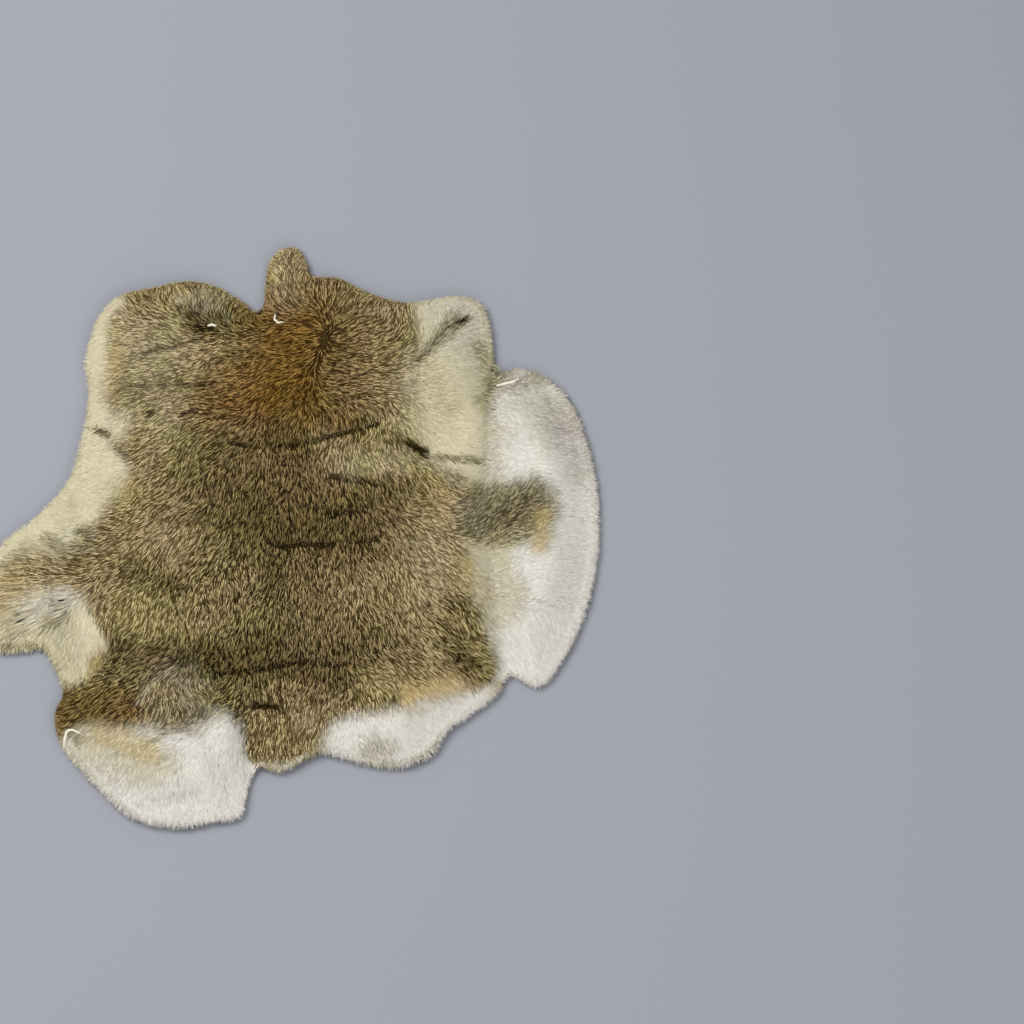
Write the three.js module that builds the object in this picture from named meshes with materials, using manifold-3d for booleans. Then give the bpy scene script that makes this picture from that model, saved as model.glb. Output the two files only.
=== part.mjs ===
// A rabbit skin pelt, laid out flat with its fur side up, in one piece.
// Millimetres. +X is to the pelt's right, +Y is towards its head end and +Z is up. The underside rests at z = 0.
//
// The solid is a thin hide with a lumpy slab of fur on it. Its rim is worked out as rings inside the outline and
// its top and underside as a surface over scattered places, and locks of hair are joined on all round the rim.

import * as THREE from 'three';
import { mergeVertices } from 'three/addons/utils/BufferGeometryUtils.js';
import Module from 'manifold-3d';

const wasm = await Module();
wasm.setup();

// Thicknesses and depths
const HIDE_THICKNESS = 1.4;
const BACK_FUR_DEPTH = 13.5;

// How far in from the outline the hide's cut edge lies, and where the slab reaches its full depth
const HIDE_INSET = 8;
const SHOULDER_REACH = 30;

// Spacing of the places that the rim, the top and the underside are stepped in
const RIM_PITCH = 8.6;
const TOP_PITCH = 8.8;
const UNDERSIDE_PITCH = 17;

// Where the pelt is moved to in the end, so that the tables' origin comes to lie under the middle of its box
const CENTRING = [-0.2, 2.3];

// Share of a swell of the fur that is an arch in the hide below it, and the height under which it lies flat
const HIDE_ARCH_SHARE = 0.75;
const HIDE_FLAT_BELOW = 1.2;

// Locks of hair at the rim
const LOCK_PITCH = 7.8;
const LOCK_WIDTH = 5.2;
const LOCK_DEPTH = 3.2;
const LOCK_ROOT_INSET = 5;
const LOCK_ROOT_HEIGHT = 2.5;

// Where a lock comes down to the surface, as a share of its length, and its width and depth there as shares too
const LOCK_BEND = 0.45;
const LOCK_BEND_WIDTH = 0.72;
const LOCK_BEND_DEPTH = 0.7;

// The shortest and narrowest lock, as shares of the usual one, and how much more the longest and widest have
const LOCK_SHORTEST = 0.6;
const LOCK_LENGTH_SPREAD = 0.9;
const LOCK_NARROWEST = 0.75;
const LOCK_WIDTH_SPREAD = 0.4;

// How far locks lean to either side, and how much more their tips do, in radians
const LOCK_LEAN = 0.8;
const LOCK_CURL = 0.5;

// Clear distance that a lock's tip needs from the outline, as a share of its length
const LOCK_ROOM = 0.6;

// How far a place may lie off its row, and how far from the ring it is kept, as shares of the pitch
const SCATTER = 0.3;
const RING_CLEARANCE = 0.62;

// How much of the relief is left at the rim
const RIM_RELIEF = 0.4;

// How far the rows of lumps wander from straight, in radians of their waves
const LUMP_WANDER = 1.6;

// Turns short rows into objects with named columns
function table(columns, rows) {
  return rows.map((row) => Object.fromEntries(columns.map((column, place) => [column, row[place]])));
}

// The outline of the fur, clockwise from the left shoulder: where it lies, how deep the fur is at the rim
// there, and how far the locks stand out from it
const OUTLINE = table(['x', 'y', 'rim', 'lock'], [
  // head end: left shoulder, notch, ear, neck and right shoulder
  [-112, 137, 8, 5],
  [-101, 148, 9, 4],
  [-82, 153, 10, 4],
  [-59, 157, 10, 4],
  [-41, 153, 9, 4],
  [-27, 144, 8, 6],
  [-18, 137, 6, 7],
  [-14, 143, 6, 4],
  [-13, 158, 7, 3],
  [-10, 171, 7, 4],
  [-3, 178, 7, 4],
  [6, 178, 7, 4],
  [11, 170, 7, 3],
  [14, 161, 8, 4],
  [31, 159, 9, 4],
  [49, 150, 9, 4],
  [72, 144, 8, 4],
  [103, 148, 7, 4],
  [117, 143, 7, 5],
  [122, 129, 7, 5],
  [124, 112, 7, 4],
  // right flank: the belly's white flap
  [125, 100, 6, 4],
  [138, 103, 6, 5],
  [153, 99, 6, 5],
  [168, 86, 6, 5],
  [179, 62, 6, 5],
  [186, 30, 6, 5],
  [187, -8, 6, 5],
  [181, -42, 6, 5],
  [169, -72, 6, 5],
  [151, -94, 6, 5],
  [134, -87, 6, 5],
  // rump end: right haunch, tail and left hind leg
  [127, -98, 7, 6],
  [108, -113, 7, 6],
  [97, -121, 8, 6],
  [88, -135, 8, 6],
  [69, -143, 8, 6],
  [43, -140, 8, 6],
  [21, -135, 8, 5],
  [-1, -146, 8, 5],
  [-16, -144, 8, 4],
  [-20, -151, 8, 4],
  [-23, -162, 8, 4],
  [-26, -173, 7, 5],
  [-42, -177, 8, 5],
  [-66, -180, 9, 5],
  [-91, -174, 8, 5],
  [-107, -160, 8, 5],
  [-123, -143, 7, 5],
  [-134, -128, 6, 4],
  [-137, -110, 7, 4],
  [-132, -98, 7, 4],
  // left flank: the tuft and the cream edge
  [-137, -84, 7, 5],
  [-145, -71, 6, 6],
  [-158, -72, 6, 7],
  [-173, -71, 6, 8],
  [-182, -55, 6, 8],
  [-183, -30, 6, 8],
  [-171, -8, 6, 7],
  [-150, 10, 7, 6],
  [-131, 32, 7, 5],
  [-125, 50, 8, 5],
  [-119, 86, 7, 5],
  [-121, 108, 7, 5],
]);

// The rim from the hide's upper edge round to the fur's top: how far in from the outline, and how high above the
// hide, as a share of the rim's depth
const RIM_SECTION = table(['inset', 'share'], [
  [HIDE_INSET, 0],
  [3.4, 0.1],
  [0, 0.42],
  [1.6, 0.78],
  [5.5, 1],
]);

// Share of the room inside a narrow stretch, such as the ear, that an inset may use up, and how far behind a
// sample another one must lie to limit its room
const MOST_OF_ROOM = 0.72;
const LEAST_DEPTH = 0.01;

// Swells of the fur over folds in the hide, and hollows: middle, reach along and across, turn and height
const SWELLS = table(['x', 'y', 'along', 'across', 'turn', 'height'], [
  [-74, 126, 44, 24, 8, 5], // left shoulder
  [40, 128, 60, 26, -10, 3.5], // nape
  [98, 120, 26, 30, -15, 2.5], // right shoulder
  [-60, 60, 60, 26, -8, 3.2], // left ribs
  [20, 24, 78, 20, -4, 3.5], // loin
  [10, -42, 96, 22, 3, 4.2], // rump
  [-66, -96, 46, 22, 12, 4.6], // left haunch
  [-66, -150, 34, 18, 0, 3.2], // left hind leg
  [12, -118, 22, 26, 80, 4], // tail
  [78, -108, 46, 20, 22, 3.2], // right haunch
  [134, 14, 22, 26, 0, 3.4], // belly patch
  [158, -40, 20, 46, 10, 1.8], // belly's edge
  [-155, -36, 30, 24, 20, 3], // tuft
  [6, 158, 9, 20, 0, -0.5], // ear
  [-49, 136, 13, 8, 20, -4], // hollow of the other ear
  [0, 134, 12, 7, 10, -3], // ear's root
  [79, 55, 14, 9, -10, -3.2], // right foreleg's hole
  [-99, 57, 14, 11, -30, -3.2], // left foreleg's hole
]);

// Creases where the fur parts: from, to, half width and depth
const CREASES = table(['x', 'y', 'toX', 'toY', 'width', 'depth'], [
  [-84, 114, -52, 123, 7, 3.4], // left shoulder, upper
  [-106, 90, -42, 96, 8, 4.2], // left shoulder, lower
  [-32, 58, 22, 60, 8, 3.6], // across the ribs
  [22, 60, 54, 68, 7, 2.8],
  [64, 26, 88, 22, 6, 2.4], // right of the loin
  [-12, -4, 28, -6, 6, 2.6], // loin
  [-12, -34, -1, -24, 5, 2.6], // short slit
  [-106, -77, -6, -72, 9, 5.4], // across the rump, left
  [-6, -72, 58, -69, 8, 4.6], // across the rump, middle
  [58, -69, 118, -62, 8, 3.8], // across the rump, right
  [-22, -103, -1, -106, 5, 4.6], // slit at the tail's root
  [-24, -110, -22, -150, 6, 6], // between the hind leg and the tail
  [122, 98, 120, 20, 7, 3.6], // between the back and the belly
  [120, 20, 129, -88, 8, 3.6],
  [-92, 112, -106, 70, 8, 2.2], // between the back and the cream edge
  [-128, 26, -134, -70, 9, 3.4], // between the back and the tuft
  [-16, 137, 15, 150, 6, 2.4], // across the ear's root
  [-84, -163, -50, -158, 5, 2.4], // pucker in the left hind leg
]);

// Small lumps all over the fur, as sums of waves: wavelength, heading and height
const LUMPS = table(['wave', 'heading', 'height'], [
  [64, 24, 0.55],
  [47, 112, 0.5],
  [33, 63, 0.35],
  [39, 151, 0.4],
]);

const smooth = (value) => THREE.MathUtils.smoothstep(value, 0, 1);
const radians = THREE.MathUtils.degToRad;

// Height that the swells give at a place. Each is a rounded hump that fades out at its reach.
function swell(x, y) {
  let height = 0;
  for (const hump of SWELLS) {
    const turn = radians(hump.turn);
    const along = ((x - hump.x) * Math.cos(turn) + (y - hump.y) * Math.sin(turn)) / hump.along;
    const across = ((y - hump.y) * Math.cos(turn) - (x - hump.x) * Math.sin(turn)) / hump.across;
    height += hump.height * Math.exp(-(along * along + across * across));
  }
  return height;
}

// Depth that the creases take away at a place, a soft trough that shallows towards both ends of each crease
function crease(x, y) {
  let depth = 0;
  for (const { x: fromX, y: fromY, toX, toY, width, depth: most } of CREASES) {
    const runX = toX - fromX;
    const runY = toY - fromY;
    const share = ((x - fromX) * runX + (y - fromY) * runY) / (runX * runX + runY * runY);
    const held = THREE.MathUtils.clamp(share, 0, 1);
    const away = Math.hypot(x - fromX - held * runX, y - fromY - held * runY) / width;
    depth += most * Math.exp(-away * away);
  }
  return depth;
}

// Height of the small lumps at a place
function lumps(x, y) {
  let height = 0;
  for (const { wave, heading, height: most } of LUMPS) {
    const turn = radians(heading);
    const run = x * Math.cos(turn) + y * Math.sin(turn);
    const cross = y * Math.cos(turn) - x * Math.sin(turn);
    height += most * Math.sin((2 * Math.PI * run) / wave + LUMP_WANDER * Math.sin((4 * cross) / wave));
  }
  return height;
}

// A number from 0 to 1 that looks like chance but is the same on every run
function chance(seed) {
  const scattered = Math.sin(seed * 12.9898) * 43758.5453;
  return scattered - Math.floor(scattered);
}

// Samples of the outline at even steps, each with its rim depth, lock length and outward normal
function outlineSamples(pitch) {
  const knots = OUTLINE.map(({ x, y }) => new THREE.Vector3(x, y, 0));
  const curve = new THREE.CatmullRomCurve3(knots, true, 'centripetal');
  const count = Math.round(curve.getLength() / pitch);
  const samples = [];
  for (let place = 0; place < count; place += 1) {
    const along = curve.getUtoTmapping(place / count);
    const point = curve.getPoint(along);
    const tangent = curve.getTangent(along);
    const between = along * OUTLINE.length;
    const before = OUTLINE[Math.floor(between) % OUTLINE.length];
    const after = OUTLINE[(Math.floor(between) + 1) % OUTLINE.length];
    const mix = between - Math.floor(between);
    samples.push({
      x: point.x,
      y: point.y,
      normalX: -tangent.y,
      normalY: tangent.x,
      rim: THREE.MathUtils.lerp(before.rim, after.rim, mix),
      lock: THREE.MathUtils.lerp(before.lock, after.lock, mix),
    });
  }
  return samples;
}

// Radius of the largest circle that touches the outline at a sample from inside and crosses it nowhere
function roomInside(sample) {
  let room = Infinity;
  for (const other of outline) {
    const offX = sample.x - other.x;
    const offY = sample.y - other.y;
    const depth = offX * sample.normalX + offY * sample.normalY;
    if (depth > LEAST_DEPTH) {
      room = Math.min(room, (offX * offX + offY * offY) / (2 * depth));
    }
  }
  return room;
}

const outline = outlineSamples(RIM_PITCH);
const fineOutline = outlineSamples(RIM_PITCH / 4);

// A ring inside the outline. Where the fur is narrow, as at the ear, it keeps to the room that there is.
function insetRing(inset) {
  const most = Math.max(...RIM_SECTION.map((row) => row.inset));
  const insets = outline.map((sample) => inset * Math.min(1, (MOST_OF_ROOM * roomInside(sample)) / most));
  return outline.map((sample, place) => {
    const before = insets[(place + insets.length - 1) % insets.length];
    const after = insets[(place + 1) % insets.length];
    const even = (before + 2 * insets[place] + after) / 4;
    return [sample.x - even * sample.normalX, sample.y - even * sample.normalY];
  });
}

// The outline sample that lies nearest to a place, and how far away it is
function nearestRim(x, y) {
  let nearest = fineOutline[0];
  let distance = Infinity;
  for (const sample of fineOutline) {
    const away = Math.hypot(x - sample.x, y - sample.y);
    if (away < distance) {
      distance = away;
      nearest = sample;
    }
  }
  return { distance, rim: nearest.rim };
}

// Height of the hide's underside: flat on the surface but for arches under the highest swells, which come down
// to the surface again before the rim
function underside(x, y) {
  const fade = smooth((nearestRim(x, y).distance - HIDE_INSET) / SHOULDER_REACH);
  return HIDE_ARCH_SHARE * fade * Math.max(0, swell(x, y) - HIDE_FLAT_BELOW);
}

// Height of the fur's top. It rises from the rim to its full depth over the back, and near the rim the swells,
// creases and lumps are gentler.
function furTop(x, y) {
  const { distance, rim } = nearestRim(x, y);
  const rise = smooth(distance / SHOULDER_REACH);
  const depth = THREE.MathUtils.lerp(rim, BACK_FUR_DEPTH, rise);
  const relief = swell(x, y) - crease(x, y) + lumps(x, y);
  return HIDE_THICKNESS + depth + THREE.MathUtils.lerp(RIM_RELIEF, 1, rise) * relief;
}

// Whether a place lies inside a ring
function isInside([x, y], ring) {
  let inside = false;
  ring.forEach(([toX, toY], place) => {
    const [fromX, fromY] = ring[(place + ring.length - 1) % ring.length];
    if (fromY > y !== toY > y && x < fromX + ((toX - fromX) * (y - fromY)) / (toY - fromY)) {
      inside = !inside;
    }
  });
  return inside;
}

// Places in staggered rows inside a ring, clear of it, each a little off its row
function scatteredInside(ring, pitch) {
  const places = [];
  const rowPitch = pitch * Math.sqrt(0.75);
  const reach = Math.max(...ring.flat().map(Math.abs));
  const rows = Math.ceil(reach / rowPitch);
  const columns = Math.ceil(reach / pitch);
  for (let row = -rows; row <= rows; row += 1) {
    for (let column = -columns; column <= columns; column += 1) {
      const seed = row * 1000 + column;
      const shift = row % 2 === 0 ? 0 : 0.5;
      const place = [
        (column + shift + SCATTER * (chance(seed) - 0.5)) * pitch,
        row * rowPitch + SCATTER * (chance(seed + 0.5) - 0.5) * pitch,
      ];
      const clear = Math.min(...ring.map(([x, y]) => Math.hypot(place[0] - x, place[1] - y)));
      if (clear > RING_CLEARANCE * pitch && isInside(place, ring)) {
        places.push(place);
      }
    }
  }
  return places;
}

// A triangle with the middle and radius of the circle through its corners
function circled(places, a, b, c) {
  const [ax, ay] = places[a];
  const [bx, by] = [places[b][0] - ax, places[b][1] - ay];
  const [cx, cy] = [places[c][0] - ax, places[c][1] - ay];
  const twice = 2 * (bx * cy - by * cx);
  const x = (cy * (bx * bx + by * by) - by * (cx * cx + cy * cy)) / twice;
  const y = (bx * (cx * cx + cy * cy) - cx * (bx * bx + by * by)) / twice;
  return { corners: [a, b, c], x: ax + x, y: ay + y, radius: Math.hypot(x, y) };
}

// Triangles over scattered places, such that no place lies inside the circle of a triangle. Each place in turn
// takes out the triangles whose circles it lies in, and is joined to the edges that are left open.
function triangulate(places) {
  const count = places.length;
  const far = 1e4;
  const all = [...places, [-far, -far], [far, -far], [0, far]];
  let triangles = [circled(all, count, count + 1, count + 2)];
  for (let place = 0; place < count; place += 1) {
    const [x, y] = all[place];
    const openEdges = new Map();
    triangles = triangles.filter((triangle) => {
      if (Math.hypot(x - triangle.x, y - triangle.y) >= triangle.radius) {
        return true;
      }
      const [a, b, c] = triangle.corners;
      for (const [from, to] of [[a, b], [b, c], [c, a]]) {
        if (!openEdges.delete(`${to} ${from}`)) {
          openEdges.set(`${from} ${to}`, [from, to]);
        }
      }
      return false;
    });
    for (const [from, to] of openEdges.values()) {
      triangles.push(circled(all, from, to, place));
    }
  }
  return triangles.map((triangle) => triangle.corners).filter((corners) => Math.max(...corners) < count);
}

// A surface inside a ring: the places scattered in it, and triangles that number the ring's places first
function surfaceInside(ring, pitch) {
  const places = [...ring, ...scatteredInside(ring, pitch)];
  const middle = (corners, axis) => corners.reduce((sum, corner) => sum + places[corner][axis], 0) / 3;
  const triangles = triangulate(places).filter((corners) => (
    isInside([middle(corners, 0), middle(corners, 1)], ring)
  ));
  return { inner: places.slice(ring.length), triangles };
}

// The closed slab: the underside, the rim's rings and the top
function slabGeometry() {
  const rimRings = RIM_SECTION.map(({ inset, share }) => (
    insetRing(inset).map(([x, y], place) => [x, y, HIDE_THICKNESS + share * outline[place].rim])
  ));
  const hideEdge = insetRing(HIDE_INSET);
  const rings = [hideEdge.map(([x, y]) => [x, y, 0]), ...rimRings];
  const count = outline.length;
  const points = rings.flat(2);
  const faces = [];
  for (let ring = 0; ring + 1 < rings.length; ring += 1) {
    for (let place = 0; place < count; place += 1) {
      const a = ring * count + place;
      const b = ring * count + ((place + 1) % count);
      faces.push(a, a + count, b, b, a + count, b + count);
    }
  }
  const lastRing = (rings.length - 1) * count;
  const topRing = rings[rings.length - 1].map(([x, y]) => [x, y]);
  for (const { ring, firstPoint, pitch, height, flip } of [
    { ring: hideEdge, firstPoint: 0, pitch: UNDERSIDE_PITCH, height: underside, flip: true },
    { ring: topRing, firstPoint: lastRing, pitch: TOP_PITCH, height: furTop, flip: false },
  ]) {
    const { inner, triangles } = surfaceInside(ring, pitch);
    const innerStart = points.length / 3 - count;
    inner.forEach(([x, y]) => points.push(x, y, height(x, y)));
    for (const corners of triangles) {
      const placed = corners.map((corner) => (corner < count ? firstPoint + corner : innerStart + corner));
      faces.push(...(flip ? placed.reverse() : placed));
    }
  }
  return solidGeometry(points, faces);
}

function solidGeometry(points, faces) {
  const geometry = new THREE.BufferGeometry();
  geometry.setAttribute('position', new THREE.Float32BufferAttribute(points, 3));
  geometry.setIndex(faces);
  return geometry;
}

// One lock of hair: a three sided spike that leaves the rim, bends down and lies level on the surface to its tip
function lockGeometry({ x, y, normalX, normalY }, lean, length, width) {
  const points = [];
  for (const { out, low, high, half } of [
    { out: -LOCK_ROOT_INSET, low: LOCK_ROOT_HEIGHT, high: LOCK_ROOT_HEIGHT + LOCK_DEPTH, half: width / 2 },
    { out: LOCK_BEND * length, low: 0, high: LOCK_BEND_DEPTH * LOCK_DEPTH, half: LOCK_BEND_WIDTH * width / 2 },
  ]) {
    const [forwardX, forwardY] = turned(normalX, normalY, lean);
    const middleX = x + out * forwardX;
    const middleY = y + out * forwardY;
    points.push(middleX - half * forwardY, middleY + half * forwardX, low);
    points.push(middleX + half * forwardY, middleY - half * forwardX, low);
    points.push(middleX, middleY, high);
  }
  const [tipX, tipY] = turned(normalX, normalY, lean + LOCK_CURL * lean);
  points.push(x + length * tipX, y + length * tipY, 0);
  const root = [0, 1, 2];
  const sides = [0, 3, 4, 0, 4, 1, 1, 4, 5, 1, 5, 2, 2, 5, 3, 2, 3, 0];
  const tip = [3, 6, 4, 4, 6, 5, 5, 6, 3];
  return solidGeometry(points, [...root, ...sides, ...tip]);
}

// A heading turned by an angle in radians
function turned(x, y, angle) {
  return [x * Math.cos(angle) - y * Math.sin(angle), x * Math.sin(angle) + y * Math.cos(angle)];
}

// Locks all round the rim. Where the outline folds in on itself there is no room for one.
function lockGeometries() {
  const locks = [];
  outlineSamples(LOCK_PITCH).forEach((sample, place) => {
    const seed = place + 1;
    const reach = sample.lock * (LOCK_SHORTEST + LOCK_LENGTH_SPREAD * chance(seed) ** 2);
    const lean = LOCK_LEAN * (chance(seed + 500) - 0.5);
    const width = LOCK_WIDTH * (LOCK_NARROWEST + LOCK_WIDTH_SPREAD * chance(seed + 900));
    const [headingX, headingY] = turned(sample.normalX, sample.normalY, lean);
    const tip = nearestRim(sample.x + reach * headingX, sample.y + reach * headingY);
    if (tip.distance > LOCK_ROOM * reach) {
      locks.push(lockGeometry(sample, lean, reach, width));
    }
  });
  return locks;
}

function toSolid(geometry) {
  const merged = mergeVertices(geometry);
  return new wasm.Manifold(new wasm.Mesh({
    numProp: 3,
    vertProperties: merged.getAttribute('position').array,
    triVerts: new Uint32Array(merged.getIndex().array),
  }));
}

function toGeometry(solid) {
  const mesh = solid.getMesh();
  const geometry = new THREE.BufferGeometry();
  geometry.setAttribute('position', new THREE.BufferAttribute(mesh.vertProperties, 3));
  geometry.setIndex(new THREE.BufferAttribute(mesh.triVerts, 1));
  geometry.computeVertexNormals();
  return geometry;
}

function peltSolid() {
  let solid = toSolid(slabGeometry());
  for (const lock of lockGeometries()) {
    solid = solid.add(toSolid(lock));
  }
  return solid;
}

const fur = new THREE.MeshStandardMaterial({ color: 0x8a7450, roughness: 0.9, metalness: 0 });
const pelt = new THREE.Mesh(toGeometry(peltSolid()), fur);
pelt.name = 'pelt';
pelt.position.set(...CENTRING, 0);

const part = new THREE.Group();
part.add(pelt);

export default part;
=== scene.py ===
import math

import bpy
import numpy as np
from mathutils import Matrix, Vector


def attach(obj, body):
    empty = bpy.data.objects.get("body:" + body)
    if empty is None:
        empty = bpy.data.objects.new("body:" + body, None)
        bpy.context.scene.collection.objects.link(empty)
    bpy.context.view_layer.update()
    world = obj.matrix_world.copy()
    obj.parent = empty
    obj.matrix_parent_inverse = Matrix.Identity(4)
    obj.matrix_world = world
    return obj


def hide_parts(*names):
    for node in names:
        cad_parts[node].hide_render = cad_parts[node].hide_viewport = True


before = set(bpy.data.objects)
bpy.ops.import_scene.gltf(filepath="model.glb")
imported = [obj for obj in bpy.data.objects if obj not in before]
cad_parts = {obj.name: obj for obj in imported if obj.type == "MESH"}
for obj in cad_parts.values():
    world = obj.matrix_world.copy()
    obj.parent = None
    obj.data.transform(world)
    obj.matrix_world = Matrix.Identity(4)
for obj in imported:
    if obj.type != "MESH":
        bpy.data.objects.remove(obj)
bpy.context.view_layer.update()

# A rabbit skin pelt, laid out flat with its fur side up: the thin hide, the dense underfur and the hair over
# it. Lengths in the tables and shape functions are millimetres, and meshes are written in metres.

MM = 0.001

# The same sizes as the solid's
HIDE_THICKNESS = 1.4
BACK_FUR_DEPTH = 13.5
HIDE_INSET = 8
SHOULDER_REACH = 30
CENTRING = (-0.2, 2.3)
HIDE_ARCH_SHARE = 0.75
HIDE_FLAT_BELOW = 1.2
RIM_RELIEF = 0.4
LUMP_WANDER = 1.6

# How much of the coat's depth there is at distances in from the outline
RIM_ROUNDING = ((-7, 0, 1.6, 5.5), (0, 0.42, 0.8, 1))

# The hide and the underfur: how many places go round each, and how many rows go over its underside and its
# top. How far the underfur lies in from the outline and below the coat's top, how much less below it does in
# pale coats, and its least thickness.
HIDE_PLACES = 440
HIDE_ROWS = (26, 14)
UNDERFUR_PLACES = 600
UNDERFUR_ROWS = (16, 60)
UNDERFUR_INSET = 0.7
UNDERFUR_SUNK = 1.1
UNDERFUR_PALE_RISE = 0.6
UNDERFUR_LEAST = 0.6

# The place that those rows spread from, which sees the whole outline, and the least turn round it in radians
# from one place on a loop to the next
MIDDLE = (-4, 40)
LEAST_TURN = 0.0005

# Smooth noises, each as how much there is of it, the size of its cells and its seed: of the hide's torn
# edge, the edges of the coat's patches along both axes, the headings of the hair, and the underfur's top.
# The last number is how far the first noise moves on from one place of the hide's edge to the next.
TEARS = ((0.9, 5, 21), (0.7, 3.5, 22))
PATCH_WANDER_X = ((6, 17, 11), (3, 6, 12))
PATCH_WANDER_Y = ((6, 17, 13), (3, 6, 14))
RUFFLES = ((0.34, 15, 41), (0.4, 6.5, 42))
UNDERFUR_LUMPS = ((0.3, 3, 31), (0.2, 1.6, 32))
TEAR_STEP = 3.4

# How far apart the hairs stand, how far apart the broad light ones among them do, and how many loose ones
# stand out at the rim
HAIR_SPACING = 0.745
TICK_SPACING = 3.6
RIM_WISPS = 12000

# A hair: its length on the back and how much longer it is on the tuft, how far along it shows, where it is
# widest, how thick it is there, how far its normals lean to its sides, and its four triangles on its root,
# left, right and tip
COAT_HAIR = 8
TUFT_HAIR = 13
HAIR_SHOWS = 0.6
KITE_WIDEST = 0.45
KITE_THICKNESS = 0.15
KITE_ROUNDING = 0.45
KITE = np.array([(0, 2, 1), (1, 2, 3), (0, 1, 3), (0, 3, 2)])

# The coat's hairs: their lengths against the full one, their width, how much broader the broad ones are,
# how deep they root, how far past the outline they reach, how far they bend and the spread of their headings.
# How high they stand off: the least, how much more some do and how much more the broad ones do. And how
# ticked the broad ones are.
HAIR_LENGTHS = (0.75, 1)
HAIR_WIDTH = (0.36, 0.6)
BROAD_WIDTH = 0.12
HAIR_DEPTH = (0.9, 1.6)
HAIR_OVERHANG = (-0.8, 0.6)
HAIR_BEND = 0.05
HEADING_SPREAD = 0.05
HAIR_LIFT = (0.1, 0.7, 0.3)
BROAD_TICK = (0.6, 1)

# How much broader pale hair is, and how much less it wanders, stands off, is rounded and goes deep
PALE_WIDTH = 0.4
PALE_RUFFLE = 0.6
PALE_LIFT = 0.75
PALE_ROUNDING = 0.7
PALE_DEPTH = 0.6

# The tuft: its middle, how far it reaches along both axes, and how much less its hair wanders and clumps.
# How far from where a hair shows the place lies whose coat it takes, on the back and how much more there.
TUFT_MIDDLE = (-158, -38)
TUFT_REACH = (34, 24)
TUFT_RUFFLE = 0.6
TUFT_LOOSE = 0.8
BACK_STRAY = 0.8
TUFT_STRAY = 2.6

# Loose hairs at the rim: how far in from the outline they grow, their width, how far they swing from
# straight out, their reach against the length of the locks, how high they lift, how deep they root, how far
# they bend and how far their normals lean
WISP_INSET = (0.5, 7)
WISP_WIDTH = (0.05, 0.09)
WISP_SWING = 0.35
WISP_REACH = 0.5
WISP_LIFT = 1.8
WISP_DEPTH = 0.8
WISP_BEND = 0.06
WISP_ROUNDING = 0.3

# The margin round a hair in its square of the map for baking, as a share of the square
BAKE_GAP = 0.08

# Clumps of hair: their size, how far they draw the tips together, and how far their headings swing in
# radians. Where a clump's tip is, as a share of the hair's length from its middle, and how much that varies.
CLUMPS = ((3.2, 0.12, 0.12), (9, 0.08, 0.2))
CLUMP_NUMBERS = 65536
CLUMP_REACH = 0.7
CLUMP_LENGTHS = (0.75, 1.15)

# Near the rim the hair turns outwards: how much, and the distances in from the outline where that is full
# and where it begins
RIM_TURN = 1.5
RIM_TURN_REACH = (2, 16)

# Painted shade: hair is darker at creases, by this much for each millimetre of their depth up to a limit and
# over a share of their width, and at partings, by this much and over this distance. The underfur gets painted
# shade at partings too.
CREASE_SHADE = 0.5
CREASE_SHADE_DEPTH = 4
CREASE_SHADE_WIDTH = 0.4
PARTING_SHADE = 7
PARTING_SHADE_REACH = 1.7
UNDERFUR_PARTING_SHADE = 0.8
UNDERFUR_PARTING_REACH = 2.5

# The tables hold places as the picture shows them on the floor. What stands above the floor is seen this
# much further up the picture for each millimetre of its height.
SEEN_RISE = 0.26

# The picture's frame: its size in pixels, how much the floor spans a pixel across and up the picture, the
# pixel that the tables' origin lies at, and how far away the camera is
PICTURE = 1024
ACROSS_A_PIXEL = 0.60
UP_A_PIXEL = 0.62
ORIGIN_PIXEL = (286, 536)
CAMERA_DISTANCE = 6000

# How much gentle folds lean the hair's normals, against how much they slope, how fast that wears off on
# steep ones, and how much of it is left at the rim
FOLD_LEAN = 2.5
STEEP_LEAN = 2.2
RIM_LEAN = 0.25


def table(columns, rows):
    """Short rows as arrays, one for each named column."""
    return dict(zip(columns.split(), np.array(rows, dtype=float).T))


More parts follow.
